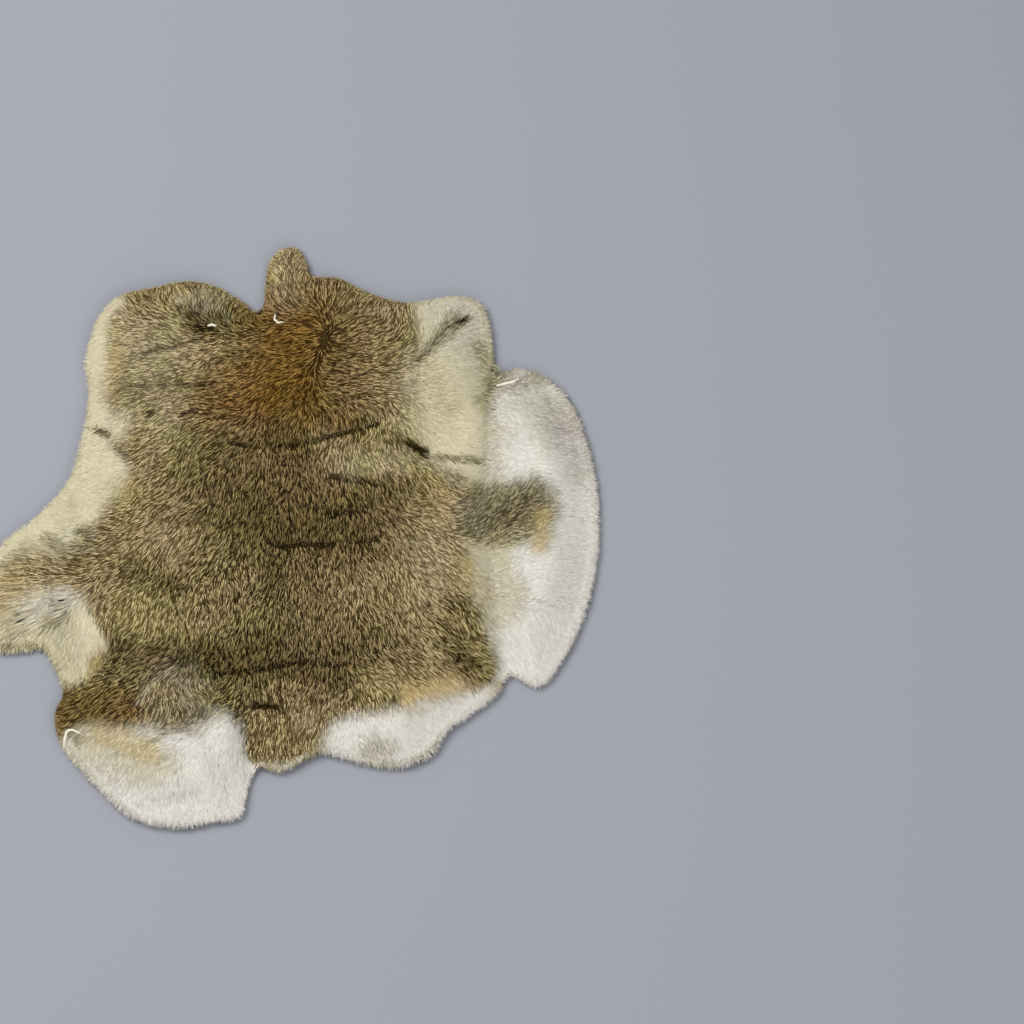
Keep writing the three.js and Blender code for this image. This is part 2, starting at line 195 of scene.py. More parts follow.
# The outline of the fur, clockwise from the left shoulder, how deep the fur is at the rim, and how far hair
# stands out there
OUTLINE = table("x y rim lock", [
    # head end: left shoulder, notch, ear, neck and right shoulder
    (-112, 137, 8, 5),
    (-101, 148, 9, 4),
    (-82, 153, 10, 4),
    (-59, 157, 10, 4),
    (-41, 153, 9, 4),
    (-27, 144, 8, 6),
    (-18, 137, 6, 7),
    (-14, 143, 6, 4),
    (-13, 158, 7, 3),
    (-10, 171, 7, 4),
    (-3, 178, 7, 4),
    (6, 178, 7, 4),
    (11, 170, 7, 3),
    (14, 161, 8, 4),
    (31, 159, 9, 4),
    (49, 150, 9, 4),
    (72, 144, 8, 4),
    (103, 148, 7, 4),
    (117, 143, 7, 5),
    (122, 129, 7, 5),
    (124, 112, 7, 4),
    # right flank: the belly's white flap
    (125, 100, 6, 4),
    (138, 103, 6, 5),
    (153, 99, 6, 5),
    (168, 86, 6, 5),
    (179, 62, 6, 5),
    (186, 30, 6, 5),
    (187, -8, 6, 5),
    (181, -42, 6, 5),
    (169, -72, 6, 5),
    (151, -94, 6, 5),
    (134, -87, 6, 5),
    # rump end: right haunch, tail and left hind leg
    (127, -98, 7, 6),
    (108, -113, 7, 6),
    (97, -121, 8, 6),
    (88, -135, 8, 6),
    (69, -143, 8, 6),
    (43, -140, 8, 6),
    (21, -135, 8, 5),
    (-1, -146, 8, 5),
    (-16, -144, 8, 4),
    (-20, -151, 8, 4),
    (-23, -162, 8, 4),
    (-26, -173, 7, 5),
    (-42, -177, 8, 5),
    (-66, -180, 9, 5),
    (-91, -174, 8, 5),
    (-107, -160, 8, 5),
    (-123, -143, 7, 5),
    (-134, -128, 6, 4),
    (-137, -110, 7, 4),
    (-132, -98, 7, 4),
    # left flank: the tuft and the cream edge
    (-137, -84, 7, 5),
    (-145, -71, 6, 6),
    (-158, -72, 6, 7),
    (-173, -71, 6, 8),
    (-182, -55, 6, 8),
    (-183, -30, 6, 8),
    (-171, -8, 6, 7),
    (-150, 10, 7, 6),
    (-131, 32, 7, 5),
    (-125, 50, 8, 5),
    (-119, 86, 7, 5),
    (-121, 108, 7, 5),
])

# Swells of the fur over folds in the hide, and hollows: middle, reach along and across, turn and height
SWELLS = table("x y along across turn height", [
    (-74, 126, 44, 24, 8, 5),  # left shoulder
    (40, 128, 60, 26, -10, 3.5),  # nape
    (98, 120, 26, 30, -15, 2.5),  # right shoulder
    (-60, 60, 60, 26, -8, 3.2),  # left ribs
    (20, 24, 78, 20, -4, 3.5),  # loin
    (10, -42, 96, 22, 3, 4.2),  # rump
    (-66, -96, 46, 22, 12, 4.6),  # left haunch
    (-66, -150, 34, 18, 0, 3.2),  # left hind leg
    (12, -118, 22, 26, 80, 4),  # tail
    (78, -108, 46, 20, 22, 3.2),  # right haunch
    (134, 14, 22, 26, 0, 3.4),  # belly patch
    (158, -40, 20, 46, 10, 1.8),  # belly's edge
    (-155, -36, 30, 24, 20, 3),  # tuft
    (6, 158, 9, 20, 0, -0.5),  # ear
    (-49, 136, 13, 8, 20, -4),  # hollow of the other ear
    (0, 134, 12, 7, 10, -3),  # ear's root
    (79, 55, 14, 9, -10, -3.2),  # right foreleg's hole
    (-99, 57, 14, 11, -30, -3.2),  # left foreleg's hole
])

# Creases where the fur parts, where hair also gets painted shade: from, to, half width and depth
CREASES = table("x y to_x to_y width depth", [
    (-84, 114, -52, 123, 7, 3.4),  # left shoulder, upper
    (-106, 90, -42, 96, 8, 4.2),  # left shoulder, lower
    (-32, 58, 22, 60, 8, 3.6),  # across the ribs
    (22, 60, 54, 68, 7, 2.8),
    (64, 26, 88, 22, 6, 2.4),  # right of the loin
    (-12, -4, 28, -6, 6, 2.6),  # loin
    (-12, -34, -1, -24, 5, 2.6),  # short slit
    (-106, -77, -6, -72, 9, 5.4),  # across the rump, left
    (-6, -72, 58, -69, 8, 4.6),  # across the rump, middle
    (58, -69, 118, -62, 8, 3.8),  # across the rump, right
    (-22, -103, -1, -106, 5, 4.6),  # slit at the tail's root
    (-24, -110, -22, -150, 6, 6),  # between the hind leg and the tail
    (122, 98, 120, 20, 7, 3.6),  # between the back and the belly
    (120, 20, 129, -88, 8, 3.6),
    (-92, 112, -106, 70, 8, 2.2),  # between the back and the cream edge
    (-128, 26, -134, -70, 9, 3.4),  # between the back and the tuft
    (-16, 137, 15, 150, 6, 2.4),  # across the ear's root
    (-84, -163, -50, -158, 5, 2.4),  # pucker in the left hind leg
    (-91, -101, -84, -89, 3, 2),  # round the swirl on the left haunch
    (-84, -89, -72, -79, 3, 2.4),
    (-72, -79, -52, -76, 3, 2.2),
    (-52, -76, -40, -86, 3, 1.6),
])

# Where the hair parts and shows its dark depth, with painted shade on the hair and underfur there: from, to,
# and how much of it parts
PARTINGS = table("x y to_x to_y depth", [
    # left shoulder
    (-86, 112, -78, 116, 0.8),
    (-78, 116, -68, 117, 0.9),
    (-68, 117, -53, 122, 0.9),
    (-104, 87, -97, 92, 0.7),
    (-97, 92, -85, 94, 0.8),
    (-85, 94, -68, 94, 0.7),
    (-68, 94, -44, 94, 0.9),
    (-82, 74, -79, 78, 1),
    (-64, 74, -55, 78, 1),
    (-41, 108, -25, 115, 0.6),
    # nape, and the whorl that the hair of the neck spreads from
    (23, 136, 25, 114, 0.6),
    (-34, 60, -21, 56, 0.8),
    (-10, 58, 3, 56, 0.8),
    (3, 56, 17, 60, 0.7),
    (17, 60, 28, 63, 0.9),
    (28, 63, 56, 71, 0.9),
    # lobe of the right shoulder
    (109, 136, 104, 133, 1),
    (104, 133, 95, 128, 0.7),
    (95, 128, 89, 120, 0.8),
    (89, 120, 84, 113, 0.8),
    (84, 113, 79, 109, 1),
    # back
    (26, 38, 33, 37, 1),
    (33, 37, 56, 33, 0.8),
    (25, 15, 43, 16, 0.7),
    (43, 16, 51, 17, 0.5),
    (-11, -2, -4, -6, 1),
    (-4, -6, 10, -4, 1),
    (10, -4, 31, -4, 1),
    (36, -3, 56, -1, 0.6),
    (-2, -24, -8, -32, 1),
    (59, -68, 70, -66, 0.3),
    (83, -41, 87, -43, 1.2),
    (103, -71, 100, -78, 1),
    # round the swirl on the left haunch, and from there across the rump
    (-90, -102, -85, -92, 0.6),
    (-85, -92, -77, -84, 0.8),
    (-77, -84, -67, -79, 0.7),
    (-67, -79, -55, -78, 0.7),
    (-55, -78, -40, -85, 0.6),
    (-40, -84, -17, -82, 0.7),
    (-17, -82, -7, -79, 0.8),
    (-7, -79, 10, -77, 0.9),
    (10, -77, 36, -78, 0.6),
    # slit at the tail's root, and the right foreleg's hole
    (-29, -110, -24, -105, 0.8),
    (-24, -105, -16, -104, 0.9),
    (-16, -104, -5, -104, 1.3),
    (-5, -104, -2, -109, 0.9),
    (74, 57, 84, 52, 1.3),
])

# Small lumps all over the fur, as sums of waves: wavelength, heading and height
LUMPS = table("wave heading height", [
    (64, 24, 0.55),
    (47, 112, 0.5),
    (33, 63, 0.35),
    (39, 151, 0.4),
])

# How the hair lies: a place and the heading in degrees that the hair there is combed in
COMBING = table("x y heading", [
    # left shoulder, round the hole of the other ear
    (-94, 146, 120),
    (-64, 154, 100),
    (-34, 146, 60),
    (-106, 128, 160),
    (-82, 128, 158),
    (-64, 131, 152),
    (-49, 143, 92),
    (-26, 137, 50),
    (-28, 118, 205),
    (-14, 128, 200),
    (-14, 112, 200),
    (-48, 122, 200),
    (-94, 109, 185),
    (-70, 106, 198),
    (-40, 103, 200),
    (-94, 84, 195),
    (-64, 81, 200),
    (-34, 84, 192),
    (-94, 66, 205),
    (-64, 66, 215),
    (-34, 69, 230),
    # neck, right shoulder and the lobe with its parting
    (0, 118, 190),
    (0, 97, 205),
    (-10, 78, 250),
    (10, 130, 195),
    (8, 146, 110),
    (26, 146, 80),
    (44, 140, 55),
    (65, 137, 75),
    (38, 118, 0),
    (62, 115, 20),
    (32, 97, 345),
    (56, 94, 350),
    (26, 72, 275),
    (56, 69, 285),
    (77, 72, 330),
    (86, 128, 100),
    (101, 143, 85),
    (116, 140, 30),
    (116, 122, 0),
    (98, 115, 350),
    (98, 84, 355),
    (116, 66, 350),
    (92, 47, 325),
    (71, 41, 300),
    # ribs and loin
    (-106, 41, 195),
    (-82, 35, 220),
    (-52, 41, 240),
    (-16, 35, 258),
    (20, 35, 272),
    (50, 29, 290),
    (86, 22, 325),
    (-136, 10, 165),
    (-154, -6, 155),
    (-112, 4, 195),
    (-88, -9, 225),
    (-58, -9, 245),
    (-16, -9, 262),
    (26, -9, 275),
    (62, -15, 290),
    (92, -15, 320),
    (-100, -40, 235),
    (-70, -46, 250),
    (-28, -46, 262),
    (20, -46, 275),
    (62, -52, 290),
    (98, -52, 315),
    (-100, -68, 250),
    (-52, -68, 262),
    # tuft and the panel under it
    (-154, -25, 178),
    (-136, -30, 170),
    (-154, -46, 205),
    (-139, -43, 195),
    (-145, -61, 228),
    (-133, -55, 245),
    (-118, -55, 295),
    (-127, -74, 275),
    (-172, -40, 190),
    # left hind leg
    (-124, -102, 205),
    (-106, -102, 225),
    (-94, -83, 200),
    (-81, -91, 232),
    (-66, -80, 200),
    (-72, -98, 280),
    (-58, -95, 330),
    (-70, -114, 205),
    (-46, -108, 215),
    (-100, -126, 230),
    (-118, -145, 225),
    (-82, -158, 255),
    (-40, -151, 275),
    (-37, -126, 262),
    # tail and right haunch
    (-10, -126, 262),
    (8, -126, 255),
    (-10, -89, 265),
    (26, -95, 262),
    (56, -95, 300),
    (86, -89, 315),
    (50, -126, 290),
    (86, -114, 310),
    (110, -71, 330),
    # belly
    (134, 72, 330),
    (155, 60, 350),
    (128, 22, 45),
    (140, 7, 20),
    (116, 10, 20),
    (134, -27, 30),
    (158, -15, 0),
    (146, -64, 300),
    (116, -40, 320),
    # ear
    (0, 150, 95),
    (0, 170, 90),
])
COMB_REACH = 13

# Where the coat isn't the brown of the back, or is brown again: a coat's name, the line along the patch's
# middle, its half width, how much of the hair there has that coat, and how soft its edge is, as a share of
# the half width
PATCHES = [
    # the back: rust on the nape, darker along the middle, tan towards the sides
    ("tan", -100, 125, -66, 104, 38, 0.85, 0.8),
    ("tan", -100, 58, -62, 50, 36, 0.75, 0.8),
    ("tan", 50, 135, 74, 100, 26, 0.6, 0.8),
    ("tan", 70, 66, 92, -20, 32, 0.8, 0.9),
    ("tan", -100, 0, -92, -44, 32, 0.65, 0.8),
    ("tan", 88, -40, 96, -56, 20, 0.5, 0.8),
    ("tan", 0, 172, 2, 150, 12, 0.95, 0.6),
    ("cream", 0, 172, 2, 150, 8, 0.12, 0.9),
    ("grey", -4, 152, 2, 142, 6, 0.6, 0.8),
    ("cream", -94, 122, -78, 116, 17, 0.2, 0.9),
    ("cream", -86, 86, -78, 78, 18, 0.16, 0.9),
    ("cream", 84, -4, 94, -22, 14, 0.12, 0.9),
    ("tan", -96, 30, -70, -2, 20, 0.45, 0.9),
    ("tan", -58, -6, -32, -6, 11, 0.3, 0.9),
    ("tan", -94, -50, -50, -57, 14, 0.6, 0.9),
    ("tan", 24, -38, 66, -36, 18, 0.4, 0.9),
    ("tan", 36, -99, 98, -82, 11, 0.75, 0.9),
    ("rust", 4, 122, -8, 96, 34, 0.9, 0.8),
    ("rust", -44, 82, 30, 74, 17, 0.6, 0.9),
    ("rust", 36, 118, 50, 104, 22, 0.35, 0.9),
    ("rust", -10, 50, 20, 30, 40, 0.35, 0.9),
    ("dark", -34, 34, 44, 26, 32, 0.55, 0.9),
    ("dark", -20, 4, 40, 0, 17, 0.6, 0.9),
    ("dark", -34, -80, 30, -84, 14, 0.65, 0.9),
    ("dark", -30, -58, 46, -62, 12, 0.35, 0.9),
    # painted shade along the crease across the rump
    ("dark", -104, -71, -40, -76, 9, 0.5, 0.9),
    ("dark", -86, -22, -64, -31, 10, 0.55, 0.9),
    ("dark", -6, -26, 14, -34, 12, 0.45, 0.9),
    # a painted highlight on a fold of the back, tan with a little cream
    ("tan", 30, 48, 72, 46, 13, 0.85, 0.9),
    ("cream", 40, 42, 70, 50, 9, 0.2, 0.9),
    ("dark", 34, 118, 36, 84, 12, 0.3, 0.9),
    # cream edge of the left flank, gold inside it, and thin dark lines of painted shade at the foreleg's hole
    # and along partings near it
    ("cream", -119, 132, -117, 46, 12, 1, 0.35),
    ("cream", -119, 132, -104, 146, 7, 0.9, 0.6),
    ("cream", -116, 76, -101, 70, 9, 0.9, 0.6),
    ("gold", -102, 115, -106, 88, 5.5, 0.45, 0.9),
    ("dark", -115, 66, -107, 63, 1.6, 0.75, 0.9),
    ("dark", -101, 54, -96, 50, 2.4, 0.7, 0.9),
    ("dark", -84, 77, -80, 76, 1.6, 0.6, 0.9),
    ("dark", -63, 76, -56, 77, 1.8, 0.7, 0.9),
    ("dark", -68, 55, -61, 50, 1.8, 0.6, 0.9),
    # hollow of the other ear: a cream lining, and grey and dark patches of painted shade in the hollow
    ("cream", -66, 148, -38, 149, 3.5, 0.3, 0.9),
    ("grey", -60, 138, -40, 137, 6.5, 0.9, 0.6),
    ("dark", -62, 140, -56, 136, 2.4, 0.7, 0.8),
    ("dark", -56, 130, -46, 127, 4.5, 0.85, 0.7),
    ("dark", -41, 136, -38, 133, 2.6, 0.8, 0.8),
    ("dark", -56, 137, -44, 135, 4, 0.55, 0.8),
    # cream side above the tuft, with grey marks
    ("cream", -112, 40, -140, 6, 17, 1, 0.35),
    ("cream", -140, 6, -176, -14, 15, 1, 0.35),
    ("gold", -105, 31, -95, 31, 7, 0.45, 0.9),
    ("grey", -122, 4, -114, 2, 3, 0.85, 0.8),
    ("grey", -126, -7, -116, -8, 3, 0.75, 0.8),
    ("dark", -127, -17, -119, -15, 2.2, 0.7, 0.8),
    ("grey", -143, -2, -134, -7, 3.5, 0.55, 0.9),
    ("tan", -158, -13, -134, -15, 6, 0.6, 0.9),
    # tuft: a tan band over a white fan, and the cream panel under them
    ("cream", -176, -52, -136, -48, 20, 1, 0.3),
    ("cream", -128, -52, -130, -78, 14, 1, 0.3),
    ("cream", -120, -50, -113, -68, 7, 1, 0.35),
    ("tan", -190, -24, -131, -24, 8, 0.95, 0.5),
    ("brown", -190, -27, -134, -26, 7, 0.3, 0.8),
    ("tan", -190, -58, -162, -60, 9, 0.15, 0.9),
    ("gold", -190, -38, -164, -36, 9, 0.5, 0.9),
    ("tan", -176, -40, -140, -38, 8, 0.35, 0.9),
    ("gold", -178, -36, -178, -56, 9, 0.4, 0.9),
    ("rust", -178, -36, -166, -44, 5, 0.3, 0.9),
    ("rust", -174, -44, -156, -34, 1.6, 0.5, 0.9),
    ("rust", -172, -56, -152, -44, 1.4, 0.4, 0.9),
    ("grey", -168, -66, -146, -50, 1.2, 0.4, 0.9),
    ("white", -150, -47, -126, -39, 7, 0.45, 0.8),
    ("grey", -145, -57, -129, -48, 2.4, 0.5, 0.9),
    ("grey", -130, -56, -128, -76, 9, 0.14, 0.9),
    ("rust", -126, -30, -110, -54, 1.4, 0.6, 0.9),
    ("gold", -110, -72, -116, -83, 2.5, 0.6, 0.9),
    # left hind leg: rust, the pale swirl, a gold band and white below
    ("white", -114, -142, -60, -142, 25, 1, 0.3),
    ("white", -62, -136, -42, -126, 18, 1, 0.35),
    ("white", -72, -160, -36, -156, 26, 1, 0.2),
    ("rust", -128, -106, -100, -107, 13, 0.75, 0.6),
    ("dark", -128, -104, -104, -105, 11, 0.3, 0.8),
    ("grey", -66, -98, -60, -98, 19, 0.75, 0.5),
    ("tan", -74, -95, -70, -100, 9, 0.6, 0.9),
    ("cream", -118, -132, -76, -140, 13, 0.7, 0.8),
    ("gold", -112, -124, -80, -131, 7.5, 0.7, 0.9),
    ("grey", -60, -117, -82, -127, 0.9, 0.45, 0.8),
    ("grey", -67, -134, -76, -140, 0.6, 0.25, 0.8),
    ("cream", -87, -103, -82, -94, 1.3, 0.4, 0.8),
    ("cream", -82, -94, -77, -88, 1.3, 0.4, 0.8),
    ("cream", -77, -88, -69, -82, 1.3, 0.35, 0.8),
    ("cream", -69, -82, -54, -80, 1.3, 0.35, 0.8),
    ("dark", -51, -96, -45, -98, 1.6, 0.8, 0.8),
    ("dark", -66, -108, -61, -108, 1.8, 0.5, 0.9),
    ("dark", -51, -110, -45, -110, 1.4, 0.5, 0.9),
    ("grey", -126, -123, -123, -126, 4, 0.35, 0.5),
    # tail, with a pale lower rim
    ("brown", 1, -112, 1, -128, 24, 1, 0.08),
    ("tan", -12, -112, -8, -126, 12, 0.5, 0.9),
    ("tan", 16, -112, 16, -128, 12, 0.9, 0.7),
    ("white", -24, -146, 20, -143, 4.5, 0.8, 0.6),
    # painted shade in the slit at the tail's root
    ("dark", -17, -104, -6, -105, 2, 1, 0.6),
    # right haunch: white with gold above it
    ("white", 42, -130, 70, -125, 19, 1, 0.35),
    ("white", 70, -122, 114, -102, 14, 1, 0.35),
    ("gold", 76, -100, 112, -90, 7, 0.8, 0.9),
    ("grey", 52, -131, 60, -134, 7, 0.3, 0.9),
    ("dark", 15, -101, 22, -102, 1.8, 0.9, 0.8),
    ("dark", 41, -101, 47, -99, 1.6, 0.8, 0.8),
    # right shoulder's lobe: cream, with grey streaks along its parting
    ("cream", 99, 142, 105, 110, 23, 1, 0.25),
    ("white", 100, 138, 112, 112, 18, 0.35, 0.7),
    ("grey", 100, 134, 83, 113, 5, 0.6, 0.9),
    # dark lines of painted shade along the parting
    ("dark", 108, 135, 104, 132, 1.8, 0.9, 0.8),
    ("dark", 79, 109, 83, 110, 2, 0.8, 0.8),
    ("grey", 117, 116, 121, 106, 4, 0.55, 0.9),
    # right flank: cream, gold near the back, and streaks at the foreleg's hole
    ("cream", 96, 92, 108, 64, 23, 1, 0.75),
    ("gold", 86, 100, 94, 84, 9, 0.4, 0.9),
    ("cream", 100, 50, 126, 44, 13, 0.9, 0.5),
    ("gold", 90, 30, 100, 8, 10, 0.18, 0.9),
    # dark lines of painted shade in the foreleg's hole and along its parting
    ("dark", 64, 60, 74, 58, 1.4, 0.6, 0.8),
    ("dark", 75, 57, 83, 52, 3, 1, 0.5),
    ("grey", 88, 44, 104, 36, 4, 0.4, 0.9),
    ("grey", 91, 49, 114, 47, 1.6, 0.7, 0.8),
    ("dark", 114, 46, 120, 46, 1.3, 0.8, 0.8),
    # belly: white, with one grey patch
    ("white", 163, 74, 152, -60, 40, 1, 0.12),
    ("cream", 124, -6, 128, -44, 14, 0.8, 0.6),
    ("gold", 111, -20, 118, -38, 6, 0.45, 0.9),
    ("cream", 122, 60, 126, -10, 10, 0.5, 0.8),
    ("grey", 118, 14, 144, 18, 16, 1, 0.55),
    ("dark", 127, 8, 142, 18, 8, 0.35, 0.9),
    ("tan", 124, -2, 144, 2, 6, 0.5, 0.9),
    ("gold", 154, 12, 152, -6, 5.5, 0.8, 0.9),
    # faint grey over the upper belly: partly grey-lavender hair, partly painted shade
    ("grey", 138, 84, 160, 66, 12, 0.14, 0.9),
    ("grey", 128, 97, 152, 96, 6, 0.3, 0.9),
    ("grey", 164, 80, 178, 40, 8, 0.16, 0.9),
    # the back's brown corner between the belly and the right haunch
    ("brown", 106, -52, 112, -78, 15, 1, 0.4),
    ("tan", 112, -58, 118, -74, 8, 0.5, 0.9),
    ("dark", 104, -78, 114, -79, 3, 0.85, 0.7),
]
COATS = ("rust", "tan", "gold", "cream", "white", "grey", "dark")

# Thin lips of bare hide that show among the hair, each as places along it, and their half width and half
# height
LIPS = [
    [(-131.5, -131), (-131, -125), (-129.5, -119.5), (-126, -119), (-121, -121.5)],
    [(-7, 138), (-7.4, 134.5), (-5.4, 132.4), (-1.5, 132.6)],
    [(-47.5, 130), (-45, 130.8), (-42, 130)],
    [(44.5, -124.5), (46, -125.2), (47.2, -126.8)],
    [(46, -129), (47.4, -129.6)],
    [(126, 93), (131, 94.5), (136, 95.5), (140, 97.5)],
]
LIP_WIDTH = 0.75
LIP_HEIGHT = 0.4

# How pale each coat is: pale hair lies smoother, and differs less from hair to hair
PALENESS = {"rust": 0, "tan": 0.15, "gold": 0.8, "cream": 1, "white": 1, "grey": 0.3, "dark": 0}

# Colours as seen, in the usual 0 to 255 scale: the depth of each coat and its light ticking
COAT_COLOURS = {
    "brown": ((46, 35, 10), (192, 173, 122)),
    "rust": ((64, 43, 7), (158, 118, 55)),
    "tan": ((98, 82, 44), (208, 192, 146)),
    "cream": ((194, 185, 153), (210, 202, 174)),
    "white": ((208, 203, 193), (226, 222, 214)),
    "grey": ((98, 90, 68), (174, 165, 138)),
    "dark": ((27, 20, 5), (128, 108, 62)),
    "gold": ((184, 160, 108), (208, 188, 138)),
}

# Where along a ticked hair its light band begins and where it ends, which shares of ticking show it, and how
# far up a hair's root is dark, and how dark
BAND_START = (0.25, 0.5)
BAND_END = (1.0, 0.82)
TICKED = (0.2, 0.9)
DARK_ROOT = (0.0, 0.35, 0.3, 0.0)

# Two faint tints that the hair wanders between, how much a step of shade changes it, and the underfur's
# dimming
TINTS = ((0.92, 0.95, 0.8, 1), (1, 0.93, 0.98, 1))
SHADE_STEP = 0.07
UNDERFUR_DIM = (0.6, 0.6, 0.6, 1)

HIDE_COLOUR = (234, 228, 208)
HIDE_SHADE = (206, 196, 168)
FLOOR_COLOUR = (152, 154, 162)


def linear(colour, alpha=1.0):
    """A colour on the 0 to 255 scale as linear light, which shader sockets take."""
    share = np.array(colour, dtype=float) / 255
    light = np.where(share <= 0.04045, share / 12.92, ((share + 0.055) / 1.055) ** 2.4)
    return (*light.tolist(), alpha)


def eased(value):
    """Smoothly from 0 to 1, flat at both ends."""
    held = np.clip(value, 0, 1)
    return held * held * (3 - 2 * held)


def blend(low, high, share):
    return low + (high - low) * share


def patchy(x, y, size, seed):
    """Smooth noise from -1 to 1: random values on a square lattice with cells of a size, eased between."""
    lattice = np.random.default_rng(seed).uniform(-1, 1, (256, 256))
    across = x / size + 128
    along = y / size + 128
    column = np.floor(across).astype(int)
    row = np.floor(along).astype(int)
    right = eased(across - column)
    up = eased(along - row)
    corner = [[lattice[(row + j) % 256, (column + i) % 256] for i in (0, 1)] for j in (0, 1)]
    return blend(blend(corner[0][0], corner[0][1], right), blend(corner[1][0], corner[1][1], right), up)


def noises(x, y, rows):
    """Smooth noises at places, added up."""
    return sum(most * patchy(x, y, size, seed) for most, size, seed in rows)


# The outline and the maps made from it

def outline_at(count):
    """Even steps along the closed curve through the outline's points. Each stretch is a cubic whose ends
    lean by the square root of the points' distances, so that it doesn't overshoot."""
    points = np.stack([OUTLINE["x"], OUTLINE["y"]], axis=1)
    before, start, end, after = (np.roll(points, shift, axis=0) for shift in (1, 0, -1, -2))
    gap_before = np.sqrt(np.linalg.norm(start - before, axis=1))[:, None]
    gap = np.sqrt(np.linalg.norm(end - start, axis=1))[:, None]
    gap_after = np.sqrt(np.linalg.norm(after - end, axis=1))[:, None]
    lean = ((start - before) / gap_before - (end - before) / (gap_before + gap)) * gap + (end - start)
    lean_end = ((after - end) / gap_after - (after - start) / (gap + gap_after)) * gap + (end - start)
    step = np.linspace(0, 1, 40, endpoint=False)[None, :, None]
    start, end, lean, lean_end = (value[:, None, :] for value in (start, end, lean, lean_end))
    bend = -3 * start + 3 * end - 2 * lean - lean_end
    twist = 2 * start - 2 * end + lean + lean_end
    fine = (start + lean * step + bend * step ** 2 + twist * step ** 3).reshape(-1, 2)
    closed = np.vstack([fine, fine[:1]])
    run = np.concatenate([[0], np.cumsum(np.linalg.norm(np.diff(closed, axis=0), axis=1))])
    even = np.linspace(0, run[-1], count, endpoint=False)
    place = np.interp(even, run, np.arange(len(run))) / 40
    samples = {"x": np.interp(even, run, closed[:, 0]), "y": np.interp(even, run, closed[:, 1])}
    for column in ("rim", "lock"):
        values = np.append(OUTLINE[column], OUTLINE[column][0])
        samples[column] = np.interp(place, np.arange(len(values)), values)
    along_x = np.roll(samples["x"], -1) - np.roll(samples["x"], 1)
    along_y = np.roll(samples["y"], -1) - np.roll(samples["y"], 1)
    length = np.hypot(along_x, along_y)
    samples["out_x"] = -along_y / length
    samples["out_y"] = along_x / length
    return samples


RIM = outline_at(1400)
MAP_STEP = 1.5
MAP_X = np.arange(-204, 206, MAP_STEP)
MAP_Y = np.arange(-202, 204, MAP_STEP)


def rim_maps():
    """Maps over the pelt of the distance in from the outline, negative outside it, and of the rim's depth,
    hair and outward heading at the nearest place on the outline."""
    grid_x, grid_y = np.meshgrid(MAP_X, MAP_Y)
    maps = {name: np.zeros(grid_x.shape) for name in ("inside", "rim", "lock", "out_x", "out_y")}
    for row in range(len(MAP_Y)):
        off_x = grid_x[row][:, None] - RIM["x"][None, :]
        off_y = grid_y[row][:, None] - RIM["y"][None, :]
        nearest = np.argmin(off_x ** 2 + off_y ** 2, axis=1)
        pick = np.arange(len(nearest))
        away_x = off_x[pick, nearest]
        away_y = off_y[pick, nearest]
        side = away_x * RIM["out_x"][nearest] + away_y * RIM["out_y"][nearest]
        maps["inside"][row] = -np.sign(side) * np.hypot(away_x, away_y)
        for name in ("rim", "lock", "out_x", "out_y"):
            maps[name][row] = RIM[name][nearest]
    return maps


def read(grid, x, y):
    """A map's value at places, worked out between its four nearest steps."""
    across = np.clip((x - MAP_X[0]) / MAP_STEP, 0, len(MAP_X) - 1.001)
    along = np.clip((y - MAP_Y[0]) / MAP_STEP, 0, len(MAP_Y) - 1.001)
    column = across.astype(int)
    row = along.astype(int)
    right = across - column
    up = along - row
    low = blend(grid[row, column], grid[row, column + 1], right)
    high = blend(grid[row + 1, column], grid[row + 1, column + 1], right)
    return blend(low, high, up)


def turned(x, y, degrees):
    """Offsets along and across a heading in degrees."""
    turn = np.radians(degrees)
    return x * np.cos(turn) + y * np.sin(turn), y * np.cos(turn) - x * np.sin(turn)


def along_line(x, y, from_x, from_y, to_x, to_y):
    """Distance of places from a straight line between two points."""
    run_x = to_x - from_x
    run_y = to_y - from_y
    share = ((x - from_x) * run_x + (y - from_y) * run_y) / (run_x ** 2 + run_y ** 2)
    held = np.clip(share, 0, 1)
    return np.hypot(x - from_x - held * run_x, y - from_y - held * run_y)


def swell(x, y):
    """Height of the swells at places. Each is a rounded hump that fades out at its reach."""
    height = np.zeros(np.shape(x))
    for place_x, place_y, along, across, turn, most in zip(*SWELLS.values()):
        run, cross = turned(x - place_x, y - place_y, turn)
        height += most * np.exp(-(run / along) ** 2 - (cross / across) ** 2)
    return height


def crease(x, y, narrowing=1.0):
    """Depth that the creases take away at places, soft troughs. Where two meet, the depth is the fourth root
    of the sum of their fourth powers, so that no pit forms there."""
    depth = np.zeros(np.shape(x))
    for from_x, from_y, to_x, to_y, width, most in zip(*CREASES.values()):
        away = along_line(x, y, from_x, from_y, to_x, to_y) / (width * narrowing)
        depth += (most * np.exp(-away ** 2)) ** 4
    return depth ** 0.25


def seen_at(x, y):
    """How far up the picture the coat at places is seen."""
    return y + SEEN_RISE * read(COAT_TOP, x, y)


def parted(x, y, reach):
    """How near places are to a parting, as the picture shows it: 0 far from it, and its depth on it."""
    seen_y = seen_at(x, y)
    most = np.zeros(len(x))
    for from_x, from_y, to_x, to_y, depth in zip(*PARTINGS.values()):
        away = along_line(x, seen_y, from_x, from_y, to_x, to_y) / reach
        most = np.maximum(most, depth * np.exp(-away ** 2))
    return most


